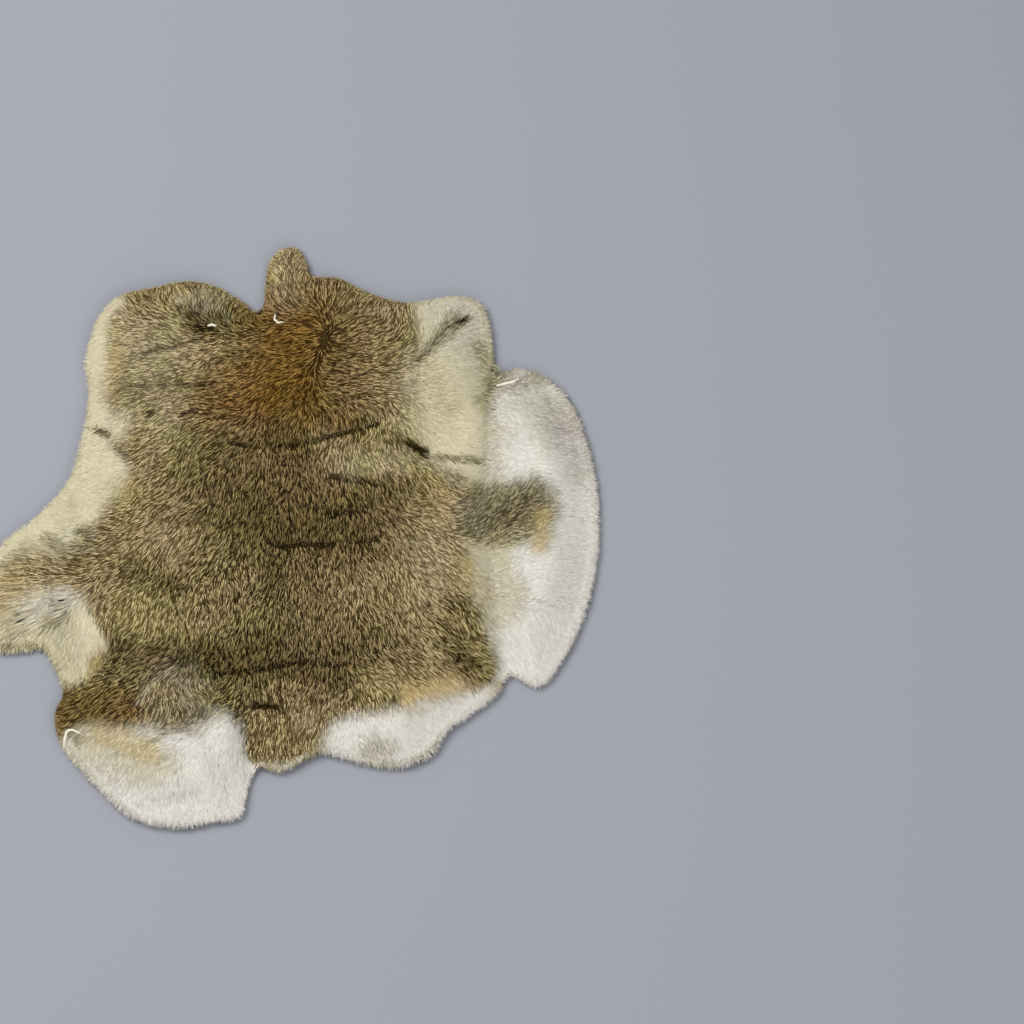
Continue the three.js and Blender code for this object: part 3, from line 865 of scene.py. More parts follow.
def stopped(x, y, length, heading, keen):
    """Length of the hairs, which ends where they would cross a parting that is deeper than they are keen.
    The share of the hair before the parting comes from the cross products of the hair, the parting and the
    way between their starts."""
    seen_y = seen_at(x, y)
    run_x = length * np.cos(heading)
    run_y = length * np.sin(heading)
    left = np.ones(len(x))
    for from_x, from_y, to_x, to_y, depth in zip(*PARTINGS.values()):
        line_x = to_x - from_x
        line_y = to_y - from_y
        off_x = from_x - x
        off_y = from_y - seen_y
        whole = run_x * line_y - run_y * line_x + 1e-9
        share = (off_x * line_y - off_y * line_x) / whole
        place = (off_x * run_y - off_y * run_x) / whole
        meets = (share > 0) & (share < 1) & (place > 0) & (place < 1) & (keen < depth)
        left = np.where(meets, np.minimum(left, np.maximum(share, 0.2)), left)
    return length * left


def lumps(x, y):
    """Height of the small lumps at places: waves whose rows wander."""
    height = np.zeros(np.shape(x))
    for wave, heading, most in zip(*LUMPS.values()):
        run, cross = turned(x, y, heading)
        height += most * np.sin(2 * np.pi * run / wave + LUMP_WANDER * np.sin(4 * cross / wave))
    return height


def surface_maps(rim):
    """Maps of the hide's underside and of the coat's top. The top is rounded at the rim, rises from there to
    its full depth over the back, and droops to the floor outside the outline."""
    x, y = np.meshgrid(MAP_X, MAP_Y)
    inside = rim["inside"]
    arch = np.maximum(0, swell(x, y) - HIDE_FLAT_BELOW)
    underside = HIDE_ARCH_SHARE * arch * eased((inside - HIDE_INSET) / SHOULDER_REACH)
    rise = eased(inside / SHOULDER_REACH)
    relief = swell(x, y) - crease(x, y + SEEN_RISE * BACK_FUR_DEPTH) + lumps(x, y)
    depth = blend(rim["rim"], BACK_FUR_DEPTH, rise) + blend(RIM_RELIEF, 1, rise) * relief
    rounding = np.interp(inside, *RIM_ROUNDING)
    top = (HIDE_THICKNESS + depth) * rounding
    return underside, top


RIM_MAPS = rim_maps()
UNDERSIDE, COAT_TOP = surface_maps(RIM_MAPS)
SLOPE_Y, SLOPE_X = np.gradient(COAT_TOP, MAP_STEP)


# Meshes

def new_object(name, data):
    thing = bpy.data.objects.new(name, data)
    bpy.context.scene.collection.objects.link(thing)
    return thing


def add_bake_map(mesh, faces):
    """A UV map in which each hair has a square of its own, with its root and tip at opposite corners."""
    hair, corner = np.divmod(faces.ravel(), 4)
    side = math.ceil(math.sqrt(hair.max() + 1))
    along = np.where(corner % 2 == 0, BAKE_GAP, 1 - BAKE_GAP)
    across = np.where(corner < 2, BAKE_GAP, 1 - BAKE_GAP)
    places = np.stack([hair % side + across, hair // side + along], axis=1) / side
    layer = mesh.uv_layers.new(name="OFBake")
    layer.uv.foreach_set("vector", places.astype(np.float32).ravel())


def new_piece(name, points, faces, material, attributes=None, normals=None, of_hairs=False):
    """An object at the origin whose mesh has points in millimetres, triangles, and vectors and perhaps
    normals on its points. A piece made of hairs gets a map for baking."""
    mesh = bpy.data.meshes.new(name)
    placed = (points + np.array([*CENTRING, 0])) * MM
    mesh.vertices.add(len(points))
    mesh.vertices.foreach_set("co", placed.astype(np.float32).ravel())
    mesh.loops.add(faces.size)
    mesh.loops.foreach_set("vertex_index", faces.astype(np.int32).ravel())
    mesh.polygons.add(len(faces))
    mesh.polygons.foreach_set("loop_start", np.arange(0, faces.size, 3, dtype=np.int32))
    mesh.polygons.foreach_set("use_smooth", np.full(len(faces), True))
    for attribute, values in (attributes or {}).items():
        layer = mesh.attributes.new(attribute, "FLOAT_VECTOR", "POINT")
        layer.data.foreach_set("vector", values.astype(np.float32).ravel())
    mesh.update(calc_edges=True)
    if of_hairs:
        add_bake_map(mesh, faces)
    if normals is not None:
        layer = mesh.attributes.new("custom_normal", "FLOAT_VECTOR", "POINT")
        layer.data.foreach_set("vector", normals.astype(np.float32).ravel())
    mesh.materials.append(material)
    return new_object(name, mesh)


def room_inside(samples):
    """Radius of the largest circle inside the outline that touches it at each sample."""
    off_x = samples["x"][:, None] - samples["x"][None, :]
    off_y = samples["y"][:, None] - samples["y"][None, :]
    behind = off_x * samples["out_x"][:, None] + off_y * samples["out_y"][:, None]
    radius = np.where(behind > 0.05, (off_x ** 2 + off_y ** 2) / (2 * np.maximum(behind, 0.05)), np.inf)
    return radius.min(axis=1)


def inset_loop(count, inset):
    """The outline moved inwards, but no further than its room allows."""
    samples = outline_at(count)
    held = np.minimum(inset, 0.7 * room_inside(samples))
    for _ in range(6):
        held = (np.roll(held, 1) + 2 * held + np.roll(held, -1)) / 4
    return samples["x"] - held * samples["out_x"], samples["y"] - held * samples["out_y"]


def unfolded(loop_x, loop_y):
    """A clockwise loop whose places keep their distances from the middle, and are turned round it where
    needed so that each lies past the one before it. So no line from the middle meets the loop twice."""
    off_x = loop_x - MIDDLE[0]
    off_y = loop_y - MIDDLE[1]
    away = np.hypot(off_x, off_y)
    least = LEAST_TURN * np.arange(len(away))
    turn = np.minimum.accumulate(np.unwrap(np.arctan2(off_y, off_x)) + least) - least
    return MIDDLE[0] + away * np.cos(turn), MIDDLE[1] + away * np.sin(turn)


def capped(rings, ends):
    """Points and triangles of a closed skin through rings of places, with a single point at each end."""
    count = rings.shape[1]
    points = np.vstack([rings.reshape(-1, 3), ends])
    place = np.arange(count)
    after = (place + 1) % count
    starts = np.arange(len(rings) - 1)[:, None] * count
    a, b = starts + place, starts + after
    c, d = a + count, b + count
    bands = np.stack([np.stack([a, c, b], axis=-1), np.stack([b, c, d], axis=-1)], axis=2).reshape(-1, 3)
    last = (len(rings) - 1) * count
    first_end = np.stack([np.full(count, len(points) - 2), place, after], axis=1)
    last_end = np.stack([np.full(count, len(points) - 1), last + after, last + place], axis=1)
    return points, np.vstack([bands, first_end, last_end])


def closed_disc(loop_x, loop_y, side_rows, low, high):
    """Points and triangles of a closed sheet inside a loop. Its places lie on lines from the middle to the
    loop, closer together further out, first over the underside and then back over the top, and low and high
    give the heights there. Both middles are single points."""
    loop_x, loop_y = unfolded(loop_x, loop_y)
    sides = []
    for rows, height in zip(side_rows, (low, high)):
        shares = np.linspace(0, 1, rows + 1)[1:] ** 0.7
        ring_x = blend(MIDDLE[0], loop_x[None, :], shares[:, None])
        ring_y = blend(MIDDLE[1], loop_y[None, :], shares[:, None])
        sides.append(np.stack([ring_x, ring_y, height(ring_x, ring_y)], axis=2))
    rings = np.vstack([sides[0], sides[1][::-1]])
    middle_x, middle_y = (np.full(1, float(value)) for value in MIDDLE)
    poles = np.array([[*MIDDLE, height(middle_x, middle_y)[0]] for height in (low, high)])
    return capped(rings, poles)


# The coat: which colours the hair has at a place

def coat_at(x, y):
    """How much of each coat the hair has at places, as columns. Soft edges wander more than sharp ones, and
    a later patch covers the ones before it."""
    y = seen_at(x, y)
    wander_x = noises(x, y, PATCH_WANDER_X)
    wander_y = noises(x, y, PATCH_WANDER_Y)
    shares = np.zeros((len(x), len(COATS)))
    for coat, from_x, from_y, to_x, to_y, half_width, most, soft in PATCHES:
        wander = min(soft, half_width / 12)
        away = along_line(x + wander * wander_x, y + wander * wander_y, from_x, from_y, to_x, to_y)
        share = most * eased((1 + soft - away / half_width) / (2 * soft))
        shares *= (1 - share)[:, None]
        if coat != "brown":
            shares[:, COATS.index(coat)] += share
    return shares


def paleness(coat):
    """How pale hair with these shares of the coats is, from 0 to 1."""
    return np.clip(coat @ np.array([PALENESS[name] for name in COATS]), 0, 1)


def combed(x, y):
    """Heading of the hair at places: the headings of the comb nearby, each weighed by its nearness, turned
    outwards near the rim."""
    head_x = np.zeros(len(x))
    head_y = np.zeros(len(x))
    seen_y = seen_at(x, y)
    for place_x, place_y, heading in zip(*COMBING.values()):
        weight = np.exp(-((x - place_x) ** 2 + (seen_y - place_y) ** 2) / COMB_REACH ** 2) + 1e-9
        head_x += weight * math.cos(math.radians(heading))
        head_y += weight * math.sin(math.radians(heading))
    size = np.hypot(head_x, head_y) + 1e-12
    full, none = RIM_TURN_REACH
    outward = RIM_TURN * eased((none - read(RIM_MAPS["inside"], x, y)) / (none - full))
    head_x = head_x / size + outward * read(RIM_MAPS["out_x"], x, y)
    head_y = head_y / size + outward * read(RIM_MAPS["out_y"], x, y)
    return np.arctan2(head_y, head_x)


def tuft_share(x, y):
    """How much places belong to the tuft, from 0 to 1."""
    off_x = (x - TUFT_MIDDLE[0]) / TUFT_REACH[0]
    off_y = (y - TUFT_MIDDLE[1]) / TUFT_REACH[1]
    return np.exp(-off_x ** 2 - off_y ** 2)


def hair_length(x, y):
    """Length of the hair that shows at places, longer on the tuft."""
    return COAT_HAIR + TUFT_HAIR * tuft_share(x, y)


def clump_at(x, y, size, seed):
    """Number of the clump that each place belongs to, and its middle: the nearest of scattered middles, one
    to each square cell of a size."""
    chance = np.random.default_rng(seed)
    shift = chance.uniform(0.1, 0.9, (256, 256, 2))
    column = np.floor(x / size).astype(int)
    row = np.floor(y / size).astype(int)
    nearest = np.full(len(x), np.inf)
    middle_x = np.zeros(len(x))
    middle_y = np.zeros(len(x))
    number = np.zeros(len(x), dtype=int)
    for step_row in (-1, 0, 1):
        for step_column in (-1, 0, 1):
            cell_column = column + step_column
            cell_row = row + step_row
            offset = shift[cell_row % 256, cell_column % 256]
            cell_x = (cell_column + offset[:, 0]) * size
            cell_y = (cell_row + offset[:, 1]) * size
            away = (x - cell_x) ** 2 + (y - cell_y) ** 2
            closer = away < nearest
            nearest = np.where(closer, away, nearest)
            middle_x = np.where(closer, cell_x, middle_x)
            middle_y = np.where(closer, cell_y, middle_y)
            number = np.where(closer, (cell_row % 256) * 256 + cell_column % 256, number)
    return number, middle_x, middle_y


def hair_roots(chance, spacing, least_inside):
    """Places a spacing apart, each moved about in its own square, that lie no nearer to the outline than a
    distance."""
    x, y = np.meshgrid(np.arange(MAP_X[0], MAP_X[-1], spacing), np.arange(MAP_Y[0], MAP_Y[-1], spacing))
    x = x.ravel() + chance.uniform(-0.5, 0.5, x.size) * spacing
    y = y.ravel() + chance.uniform(-0.5, 0.5, y.size) * spacing
    kept = read(RIM_MAPS["inside"], x, y) > least_inside
    return x[kept], y[kept]


def drawn_together(x, y, tip_x, tip_y):
    """Tips of the hairs, pulled towards where the tip of their clump points, less so on the tuft. There are
    small clumps in large."""
    gathered = 1 - TUFT_LOOSE * tuft_share(x, y)
    for size, pull, swing in CLUMPS:
        number, middle_x, middle_y = clump_at(x, y, size, int(size * 10))
        heading = combed(middle_x, middle_y)
        length = CLUMP_REACH * hair_length(middle_x, middle_y)
        chance = np.random.default_rng(int(size * 100))
        heading = heading + chance.normal(0, swing, CLUMP_NUMBERS)[number]
        length = length * chance.uniform(*CLUMP_LENGTHS, CLUMP_NUMBERS)[number]
        tip_x = blend(tip_x, middle_x + length * np.cos(heading), pull * gathered)
        tip_y = blend(tip_y, middle_y + length * np.sin(heading), pull * gathered)
    return tip_x, tip_y


def kept_in(x, y, tip_x, tip_y, overhang):
    """Tips of the hairs, drawn back so that none reaches further outside the outline than its overhang."""
    for _ in range(3):
        over = np.maximum(0, -read(RIM_MAPS["inside"], tip_x, tip_y) - overhang)
        tip_x = tip_x - over * read(RIM_MAPS["out_x"], tip_x, tip_y)
        tip_y = tip_y - over * read(RIM_MAPS["out_y"], tip_x, tip_y)
    return tip_x, tip_y


def coat_lean(x, y):
    """How far the coat's normals lean back along both axes at places."""
    slope_x = read(SLOPE_X, x, y)
    slope_y = read(SLOPE_Y, x, y)
    inner = eased(read(RIM_MAPS["inside"], x, y) / 12)
    steepness = blend(RIM_LEAN, 1, inner) * FOLD_LEAN / (1 + STEEP_LEAN * np.hypot(slope_x, slope_y))
    return steepness * slope_x, steepness * slope_y


def hair_mesh(x, y, length, heading, width, lift, depth, overhang, bend, rounding):
    """Points, triangles and normals of hairs. Each is a slim closed kite, bent along its middle: a point at
    its root below the coat's top, two side points where it is widest, which lie on or just above the coat's
    top, and a point at its tip, which stands off it. The normals are the coat's own, leant a little to each
    side, so that the coat looks soft."""
    count = len(x)
    tip_x = x + length * np.cos(heading)
    tip_y = y + length * np.sin(heading)
    tip_x, tip_y = drawn_together(x, y, tip_x, tip_y)
    tip_x, tip_y = kept_in(x, y, tip_x, tip_y, overhang)
    run_x = tip_x - x
    run_y = tip_y - y
    run = np.hypot(run_x, run_y) + 1e-6
    side_x = -run_y / run
    side_y = run_x / run
    bow = bend * run
    wide_x = x + KITE_WIDEST * run_x + bow * side_x
    wide_y = y + KITE_WIDEST * run_y + bow * side_y
    root_z = np.maximum(read(COAT_TOP, x, y) - depth, 0.15)
    tip_z = np.maximum(read(COAT_TOP, tip_x, tip_y) + lift, 0.12)
    line_z = blend(root_z, tip_z, KITE_WIDEST)
    wide_z = np.maximum(read(COAT_TOP, wide_x, wide_y) + 0.4 * lift, line_z + KITE_THICKNESS)
    side_z = read(SLOPE_X, wide_x, wide_y) * side_x + read(SLOPE_Y, wide_x, wide_y) * side_y
    lean_x, lean_y = coat_lean(wide_x, wide_y)
    half = 0.5 * width
    root = np.stack([x, y, root_z], axis=1)
    left = np.stack([wide_x + half * side_x, wide_y + half * side_y, wide_z + half * side_z], axis=1)
    right = np.stack([wide_x - half * side_x, wide_y - half * side_y, wide_z - half * side_z], axis=1)
    tip = np.stack([tip_x, tip_y, tip_z], axis=1)
    points = np.stack([root, left, right, tip], axis=1).reshape(-1, 3)
    faces = (np.arange(count)[:, None, None] * 4 + KITE[None]).reshape(-1, 3)
    up = np.stack([-lean_x, -lean_y, np.ones(count)], axis=1)
    side = np.stack([side_x, side_y, lean_x * side_x + lean_y * side_y], axis=1)
    lean = side * rounding[:, None]
    normals = np.stack([up, up + lean, up - lean, up], axis=1).reshape(-1, 3)
    return points, faces, normals / np.linalg.norm(normals, axis=1)[:, None]


def strand_values(chance, x, y, coat, tick):
    """Attributes of the hairs' points: how far along the hair, its share of ticking and its shade, and how
    much of each coat it has. The shade is a random tone plus painted shade, lower at creases and partings."""
    count = len(x)
    folded = crease(x, y + SEEN_RISE * BACK_FUR_DEPTH, CREASE_SHADE_WIDTH)
    folded = np.minimum(folded, CREASE_SHADE_DEPTH)
    spread = chance.normal(0, 1, count) * (1 - 0.8 * paleness(coat))
    # Painted shade: the shade is lowered at creases and partings, on top of its random tone
    shade = spread - CREASE_SHADE * folded - PARTING_SHADE * parted(x, y, PARTING_SHADE_REACH)
    along = np.tile([0, KITE_WIDEST, KITE_WIDEST, 1], count)
    strand = np.stack([along, np.repeat(tick, 4), np.repeat(shade, 4)], axis=1)
    return {"strand": strand, **coat_values(np.repeat(coat, 4, axis=0))}


def coat_values(coat):
    """Attributes that hold the shares of the coats, three to each."""
    spare = np.zeros((len(coat), 9 - len(COATS)))
    shares = np.hstack([coat, spare])
    return {"coat_a": shares[:, :3], "coat_b": shares[:, 3:6], "coat_c": shares[:, 6:]}


# Materials

def new_group(name, inputs, outputs):
    """An empty shader node group with named sockets, and its input and output nodes."""
    group = bpy.data.node_groups.new(name, "ShaderNodeTree")
    for socket, kind in inputs:
        group.interface.new_socket(socket, in_out="INPUT", socket_type=kind)
    for socket, kind in outputs:
        group.interface.new_socket(socket, in_out="OUTPUT", socket_type=kind)
    return group, group.nodes.new("NodeGroupInput"), group.nodes.new("NodeGroupOutput")


def feed(tree, value, entry):
    """Gives an input a number or a colour, or links a socket to it."""
    if isinstance(value, (int, float, tuple)):
        entry.default_value = value
    else:
        tree.links.new(value, entry)


def maths(tree, operation, *values):
    """A Math node on sockets or numbers, and its result."""
    node = tree.nodes.new("ShaderNodeMath")
    node.operation = operation
    for place, value in enumerate(values):
        feed(tree, value, node.inputs[place])
    return node.outputs[0]


def mixed(tree, share, low, high, kind="MIX"):
    """A colour Mix node on sockets or colours, and its result."""
    node = tree.nodes.new("ShaderNodeMix")
    node.data_type = "RGBA"
    node.blend_type = kind
    for place, value in ((0, share), (6, low), (7, high)):
        feed(tree, value, node.inputs[place])
    return node.outputs[2]


def stepped(tree, value, low, high, out_low=0.0, out_high=1.0):
    """A value eased from one range to another."""
    node = tree.nodes.new("ShaderNodeMapRange")
    node.interpolation_type = "SMOOTHSTEP"
    for place, number in ((1, low), (2, high), (3, out_low), (4, out_high)):
        node.inputs[place].default_value = number
    tree.links.new(value, node.inputs[0])
    return node.outputs[0]


def noise(tree, vector, scale, detail=3.0):
    node = tree.nodes.new("ShaderNodeTexNoise")
    node.inputs["Scale"].default_value = scale
    node.inputs["Detail"].default_value = detail
    tree.links.new(vector, node.inputs["Vector"])
    return node.outputs["Fac"]


def attribute(tree, name):
    """The three parts of a mesh's own attribute."""
    node = tree.nodes.new("ShaderNodeAttribute")
    node.attribute_name = name
    parts = tree.nodes.new("ShaderNodeSeparateXYZ")
    tree.links.new(node.outputs["Vector"], parts.inputs[0])
    return parts.outputs[0], parts.outputs[1], parts.outputs[2]


def coat_group():
    """Node group: the depth and ticking colours of the coat, mixed from each coat's share."""
    shares = [(coat, "NodeSocketFloat") for coat in COATS]
    colours = [("Depth", "NodeSocketColor"), ("Ticking", "NodeSocketColor")]
    group, entry, exit_node = new_group("Coat colours", shares, colours)
    for place, output in enumerate(("Depth", "Ticking")):
        colour = linear(COAT_COLOURS["brown"][place])
        for coat in COATS:
            colour = mixed(group, entry.outputs[coat], colour, linear(COAT_COLOURS[coat][place]))
        group.links.new(colour, exit_node.inputs[output])
    return group


def placed_group(tree, group, inputs):
    node = tree.nodes.new("ShaderNodeGroup")
    node.node_tree = group
    for name, value in inputs.items():
        feed(tree, value, node.inputs[name])
    return node


def add_bump(tree, shader, height, distance, strength=1.0):
    """Bumps on a surface, as high as a distance in metres."""
    bump = tree.nodes.new("ShaderNodeBump")
    bump.inputs["Distance"].default_value = distance
    bump.inputs["Strength"].default_value = strength
    tree.links.new(height, bump.inputs["Height"])
    tree.links.new(bump.outputs[0], shader.inputs["Normal"])


def new_material(name, roughness, shine=0.2):
    """A material with a Principled shader, and its tree and shader."""
    material = bpy.data.materials.new(name)
    material.use_nodes = True
    tree = material.node_tree
    shader = tree.nodes["Principled BSDF"]
    shader.inputs["Roughness"].default_value = roughness
    shader.inputs["Specular IOR Level"].default_value = shine
    return material, tree, shader


def coat_shares(tree):
    """The shares of the coats, by name."""
    parts = [part for name in ("coat_a", "coat_b", "coat_c") for part in attribute(tree, name)]
    return dict(zip(COATS, parts))


def dimming(tree, shares):
    """How much darker the depth of the coat is than its top: less in pale coats."""
    pale = maths(tree, "ADD", shares["cream"], shares["white"])
    pale = maths(tree, "MULTIPLY_ADD", shares["gold"], 0.8, pale)
    return maths(tree, "MULTIPLY_ADD", pale, -0.8, 1.0)


def hair_material(coats):
    """Hair that is deep in colour at its root and tip, with a light band between on the ticked hairs. Its
    shade, a random tone plus painted shade at creases and partings, darkens it.
    """
    material, tree, shader = new_material("Hair", 0.7, 0.06)
    along, tick, shade = attribute(tree, "strand")
    shares = coat_shares(tree)
    coat = placed_group(tree, coats, shares)
    ticked = stepped(tree, tick, *TICKED)
    band = maths(tree, "MULTIPLY", stepped(tree, along, *BAND_START), stepped(tree, along, *BAND_END))
    lightness = maths(tree, "MULTIPLY", band, ticked)
    colour = mixed(tree, lightness, coat.outputs["Depth"], coat.outputs["Ticking"])
    place = tree.nodes.new("ShaderNodeTexCoord").outputs["Object"]
    tint = mixed(tree, stepped(tree, noise(tree, place, 34, 1), 0.35, 0.65), *TINTS)
    tinged = maths(tree, "MULTIPLY", dimming(tree, shares), 0.7)
    colour = mixed(tree, tinged, colour, mixed(tree, 1.0, colour, tint, "MULTIPLY"))
    deep = maths(tree, "MULTIPLY", stepped(tree, along, *DARK_ROOT), dimming(tree, shares))
    # Painted shade: the shade attribute darkens hair at creases and partings, besides its random tone
    shaded = maths(tree, "MULTIPLY_ADD", shade, SHADE_STEP, 1.0)
    level = maths(tree, "MULTIPLY", maths(tree, "SUBTRACT", 1.0, deep), shaded)
    grey = tree.nodes.new("ShaderNodeCombineColor")
    for channel in range(3):
        tree.links.new(level, grey.inputs[channel])
    tree.links.new(mixed(tree, 1.0, colour, grey.outputs[0], "MULTIPLY"), shader.inputs["Base Color"])
    return material


def underfur_material(coats):
    """The dense fur between the hairs' roots: the same coat, deeper in colour, with a fine grain that is
    softer in pale coats."""
    material, tree, shader = new_material("Underfur", 0.9, 0.0)
    shares = coat_shares(tree)
    coat = placed_group(tree, coats, shares)
    place = tree.nodes.new("ShaderNodeTexCoord").outputs["Object"]
    grain = noise(tree, place, 900)
    colour = mixed(tree, maths(tree, "MULTIPLY", grain, 0.5), coat.outputs["Depth"], coat.outputs["Ticking"])
    dimmed = mixed(tree, 1.0, colour, UNDERFUR_DIM, "MULTIPLY")
    dark = mixed(tree, dimming(tree, shares), colour, dimmed)
    tree.links.new(dark, shader.inputs["Base Color"])
    add_bump(tree, shader, maths(tree, "MULTIPLY", grain, dimming(tree, shares)), 0.001)
    return material


def hide_material():
    """Tanned skin: off-white, with faint warm patches, fine pores and soft wrinkles."""
    material, tree, shader = new_material("Hide", 0.72)
    place = tree.nodes.new("ShaderNodeTexCoord").outputs["Object"]
    patches = noise(tree, place, 14, 4)
    colour = mixed(tree, stepped(tree, patches, 0.4, 0.75), linear(HIDE_COLOUR), linear(HIDE_SHADE))
    tree.links.new(colour, shader.inputs["Base Color"])
    wrinkles = noise(tree, place, 60, 6)
    pores = noise(tree, place, 1400, 2)
    add_bump(tree, shader, maths(tree, "MULTIPLY_ADD", pores, 0.25, wrinkles), 0.0012, 0.7)
    return material


def floor_material():
    material, tree, shader = new_material("Floor", 0.85)
    shader.inputs["Base Color"].default_value = linear(FLOOR_COLOUR)
    return material


# Pieces

def add_hide(material):
    """The thin skin, with a torn edge, flat on the floor but for its arches."""
    loop_x, loop_y = inset_loop(HIDE_PLACES, HIDE_INSET)
    samples = outline_at(HIDE_PLACES)
    run = np.arange(HIDE_PLACES) * TEAR_STEP
    tear = noises(run, run * 0, TEARS)
    loop_x = loop_x + tear * samples["out_x"]
    loop_y = loop_y + tear * samples["out_y"]

    def low(x, y):
        return read(UNDERSIDE, x, y)

    def high(x, y):
        return low(x, y) + HIDE_THICKNESS - 0.1

    points, faces = closed_disc(loop_x, loop_y, HIDE_ROWS, low, high)
    return new_piece("hide", points, faces, material)


def lip_mesh(places):
    """Points and triangles of one lip: rings of eight points along a line on the coat, smaller towards its
    ends, which are single points."""
    steps, sides = 14, 8
    shown_x, shown_y = np.array(places, dtype=float).T
    run = np.linspace(0, len(places) - 1, steps)
    x = np.interp(run, np.arange(len(places)), shown_x)
    y = np.interp(run, np.arange(len(places)), shown_y)
    y = y - SEEN_RISE * read(COAT_TOP, x, y)
    z = read(COAT_TOP, x, y) + 0.3
    along_x, along_y = np.gradient(x), np.gradient(y)
    length = np.hypot(along_x, along_y)
    taper = np.sin(np.pi * np.linspace(0.06, 0.94, steps)) ** 0.5
    turn = 2 * np.pi * np.arange(sides) / sides
    out = LIP_WIDTH * taper[:, None] * np.cos(turn)[None, :]
    up = LIP_HEIGHT * taper[:, None] * np.sin(turn)[None, :]
    ring_x = x[:, None] - out * (along_y / length)[:, None]
    ring_y = y[:, None] + out * (along_x / length)[:, None]
    rings = np.stack([ring_x, ring_y, z[:, None] + up], axis=2)
    ends = np.stack([x[[0, -1]], y[[0, -1]], z[[0, -1]]], axis=1)
    return capped(rings, ends)


def add_lips(material):
    """The lips of bare hide, as one piece."""
    points, faces = [], []
    for places in LIPS:
        lip_points, lip_faces = lip_mesh(places)
        faces.append(lip_faces + sum(len(group) for group in points))
        points.append(lip_points)
    return new_piece("hide_lips", np.vstack(points), np.vstack(faces), material)


def add_underfur(material):
    """The dense fur under the hair, from just above the hide to just below the coat's top."""
    loop_x, loop_y = inset_loop(UNDERFUR_PLACES, UNDERFUR_INSET)

    def low(x, y):
        return read(UNDERSIDE, x, y) + HIDE_THICKNESS + 0.1

    def high(x, y):
        inner = eased(read(RIM_MAPS["inside"], x, y) / 6)
        pale = paleness(coat_at(x.ravel(), y.ravel())).reshape(x.shape)
        off = noises(x, y, UNDERFUR_LUMPS) - (UNDERFUR_SUNK - UNDERFUR_PALE_RISE * pale)
        return np.maximum(read(COAT_TOP, x, y) + blend(0.2, 1, inner) * off, low(x, y) + UNDERFUR_LEAST)

    points, faces = closed_disc(loop_x, loop_y, UNDERFUR_ROWS, low, high)
    lean_x, lean_y = coat_lean(points[:, 0], points[:, 1])
    over = np.where(points[:, 2] > low(points[:, 0], points[:, 1]) + 0.3, 1.0, -1.0)
    normals = np.stack([-lean_x * (over > 0), -lean_y * (over > 0), over], axis=1)
    coat = coat_at(points[:, 0], points[:, 1])
    # Painted shade: near partings the underfur takes on the dark coat
    dark = UNDERFUR_PARTING_SHADE * parted(points[:, 0], points[:, 1], UNDERFUR_PARTING_REACH)
    coat *= (1 - dark)[:, None]
    coat[:, COATS.index("dark")] += dark
    return new_piece("underfur", points, faces, material, coat_values(coat), normals)


def add_coat(material):
    """The hair over the underfur, in four bands from the head end to the rump. Broad light hairs lie evenly
    among the rest, on top of them."""
    chance = np.random.default_rng(7)
    fine_x, fine_y = hair_roots(chance, HAIR_SPACING, 2)
    broad_x, broad_y = hair_roots(chance, TICK_SPACING, 3)
    x = np.append(fine_x, broad_x)
    y = np.append(fine_y, broad_y)
    count = len(x)
    broad = np.append(np.zeros(len(fine_x)), np.ones(len(broad_x)))
    tick = np.where(broad == 1, chance.uniform(*BROAD_TICK, count), chance.uniform(0, 1, count) ** 1.5)
    order = np.argsort(-y)
    x, y, broad, tick = x[order], y[order], broad[order], tick[order]
    pale = paleness(coat_at(x, y))
    ruffle = noises(x, y, RUFFLES) + chance.normal(0, HEADING_SPREAD, count)
    tuft = tuft_share(x, y)
    heading = combed(x, y) + ruffle * (1 - PALE_RUFFLE * pale) * (1 - TUFT_RUFFLE * tuft)
    length = hair_length(x, y) * chance.uniform(*HAIR_LENGTHS, count)
    length = stopped(x, y, length, heading, chance.uniform(0, 1, count))
    shown_x = x + HAIR_SHOWS * length * np.cos(heading)
    shown_y = y + HAIR_SHOWS * length * np.sin(heading)
    stray = BACK_STRAY + TUFT_STRAY * tuft
    coat_x = shown_x + stray * chance.normal(0, 1, count)
    coat_y = shown_y + stray * chance.normal(0, 1, count)
    coat = coat_at(coat_x, coat_y)
    pale = paleness(coat)
    width = chance.uniform(*HAIR_WIDTH, count) * (1 + PALE_WIDTH * pale) + BROAD_WIDTH * broad * (1 - pale)
    least, some, of_broad = HAIR_LIFT
    lift = (least + some * chance.uniform(0, 1, count) ** 2 + of_broad * broad) * (1 - PALE_LIFT * pale)
    rounding = KITE_ROUNDING * (1 - PALE_ROUNDING * pale)
    depth = chance.uniform(*HAIR_DEPTH, count) * (1 - PALE_DEPTH * pale)
    overhang = chance.uniform(*HAIR_OVERHANG, count)
    bend = chance.normal(0, HAIR_BEND, count)
    points, faces, normals = hair_mesh(x, y, length, heading, width, lift, depth, overhang, bend, rounding)
    values = strand_values(chance, shown_x, shown_y, coat, tick)
    pieces = []
    bands = np.array_split(np.arange(count), 4)
    for name, band in zip(("hair_head", "hair_ribs", "hair_loin", "hair_rump"), bands):
        first = band[0]
        here = slice(4 * first, 4 * (band[-1] + 1))
        values_here = {key: value[here] for key, value in values.items()}
        faces_here = faces[here] - 4 * first
        pieces.append(new_piece(name, points[here], faces_here, material, values_here, normals[here], True))
    return pieces


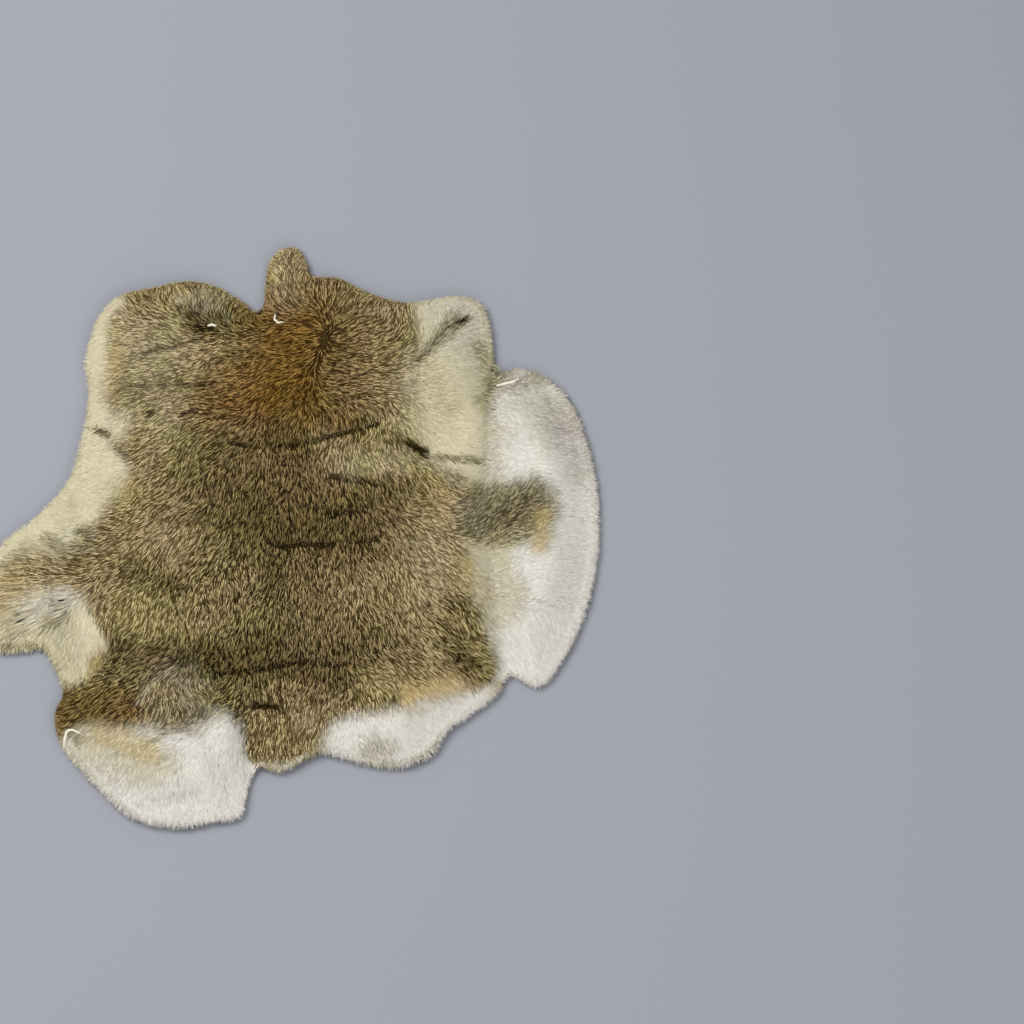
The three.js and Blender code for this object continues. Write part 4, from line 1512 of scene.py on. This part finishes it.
def add_rim_wisps(material):
    """Fine loose hairs that stand out all round the rim."""
    chance = np.random.default_rng(17)
    pick = chance.integers(0, len(RIM["x"]), RIM_WISPS)
    inset = chance.uniform(*WISP_INSET, RIM_WISPS)
    x = RIM["x"][pick] - inset * RIM["out_x"][pick]
    y = RIM["y"][pick] - inset * RIM["out_y"][pick]
    heading = np.arctan2(RIM["out_y"][pick], RIM["out_x"][pick]) + chance.normal(0, WISP_SWING, RIM_WISPS)
    reach = WISP_REACH * RIM["lock"][pick] * chance.uniform(0, 1, RIM_WISPS) ** 1.5
    length = reach + inset
    width = chance.uniform(*WISP_WIDTH, RIM_WISPS)
    lift = WISP_LIFT * chance.uniform(0, 1, RIM_WISPS) ** 2
    depth = np.full(RIM_WISPS, WISP_DEPTH)
    bend = chance.normal(0, WISP_BEND, RIM_WISPS)
    rounding = np.full(RIM_WISPS, WISP_ROUNDING)
    points, faces, normals = hair_mesh(x, y, length, heading, width, lift, depth, reach, bend, rounding)
    tick = chance.uniform(0.5, 1, RIM_WISPS)
    values = strand_values(chance, x, y, coat_at(x, y), tick)
    return new_piece("rim_wisps", points, faces, material, values, normals, True)


# Stage, light and camera

def add_area_light(name, place, size, power, colour=(1, 1, 1)):
    light = bpy.data.lights.new(name, "AREA")
    light.size = size
    light.energy = power
    light.color = colour
    lamp = new_object(name, light)
    lamp.location = place
    lamp.rotation_euler = (Vector((0, 0, 0)) - Vector(place)).to_track_quat("-Z", "Y").to_euler()
    lamp.visible_camera = False


def add_stage():
    """A plain pale floor that the pelt lies on, and soft light from a large lamp and the sky."""
    half = 6.0
    corners = [(-half, -half, 0), (half, -half, 0), (half, half, 0), (-half, half, 0)]
    mesh = bpy.data.meshes.new("floor")
    mesh.from_pydata(corners, [], [(0, 1, 2, 3)])
    mesh.materials.append(floor_material())
    floor = new_object("floor", mesh)
    add_area_light("key", (-0.9, 0.5, 1.8), 1.2, 34)
    add_area_light("fill", (0.7, -1.4, 1.6), 2.0, 16)
    world = bpy.data.worlds.new("studio")
    world.use_nodes = True
    sky = world.node_tree.nodes["Background"]
    sky.inputs["Color"].default_value = (0.97, 0.98, 1.0, 1)
    sky.inputs["Strength"].default_value = 0.42
    bpy.context.scene.world = world
    bpy.context.scene.view_settings.view_transform = "Standard"


def add_camera():
    """A camera above the pelt's foot end, tilted as far as the picture's foreshortening says, that frames
    the floor as the picture does."""
    elevation = math.asin(ACROSS_A_PIXEL / UP_A_PIXEL)
    aim_x = (PICTURE / 2 - ORIGIN_PIXEL[0]) * ACROSS_A_PIXEL + CENTRING[0]
    aim_y = (ORIGIN_PIXEL[1] - PICTURE / 2) * UP_A_PIXEL + CENTRING[1]
    aim = Vector((aim_x, aim_y, 0)) * MM
    away = Vector((0, -math.cos(elevation), math.sin(elevation))) * CAMERA_DISTANCE * MM
    camera = bpy.data.cameras.new("camera")
    camera.sensor_width = 36
    camera.lens = 36 * CAMERA_DISTANCE / (PICTURE * ACROSS_A_PIXEL)
    camera.clip_start = 0.05
    viewer = new_object("camera", camera)
    viewer.location = aim + away
    viewer.rotation_euler = (-away).to_track_quat("-Z", "Y").to_euler()
    bpy.context.scene.camera = viewer


def main():
    add_camera()
    add_stage()
    coats = coat_group()
    hair = hair_material(coats)
    skin = hide_material()
    hide = add_hide(skin)
    lips = add_lips(skin)
    underfur = add_underfur(underfur_material(coats))
    coat = add_coat(hair)
    wisps = add_rim_wisps(hair)
    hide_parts("pelt")
    for piece in (hide, lips, underfur, wisps, *coat):
        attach(piece, "root")


main()
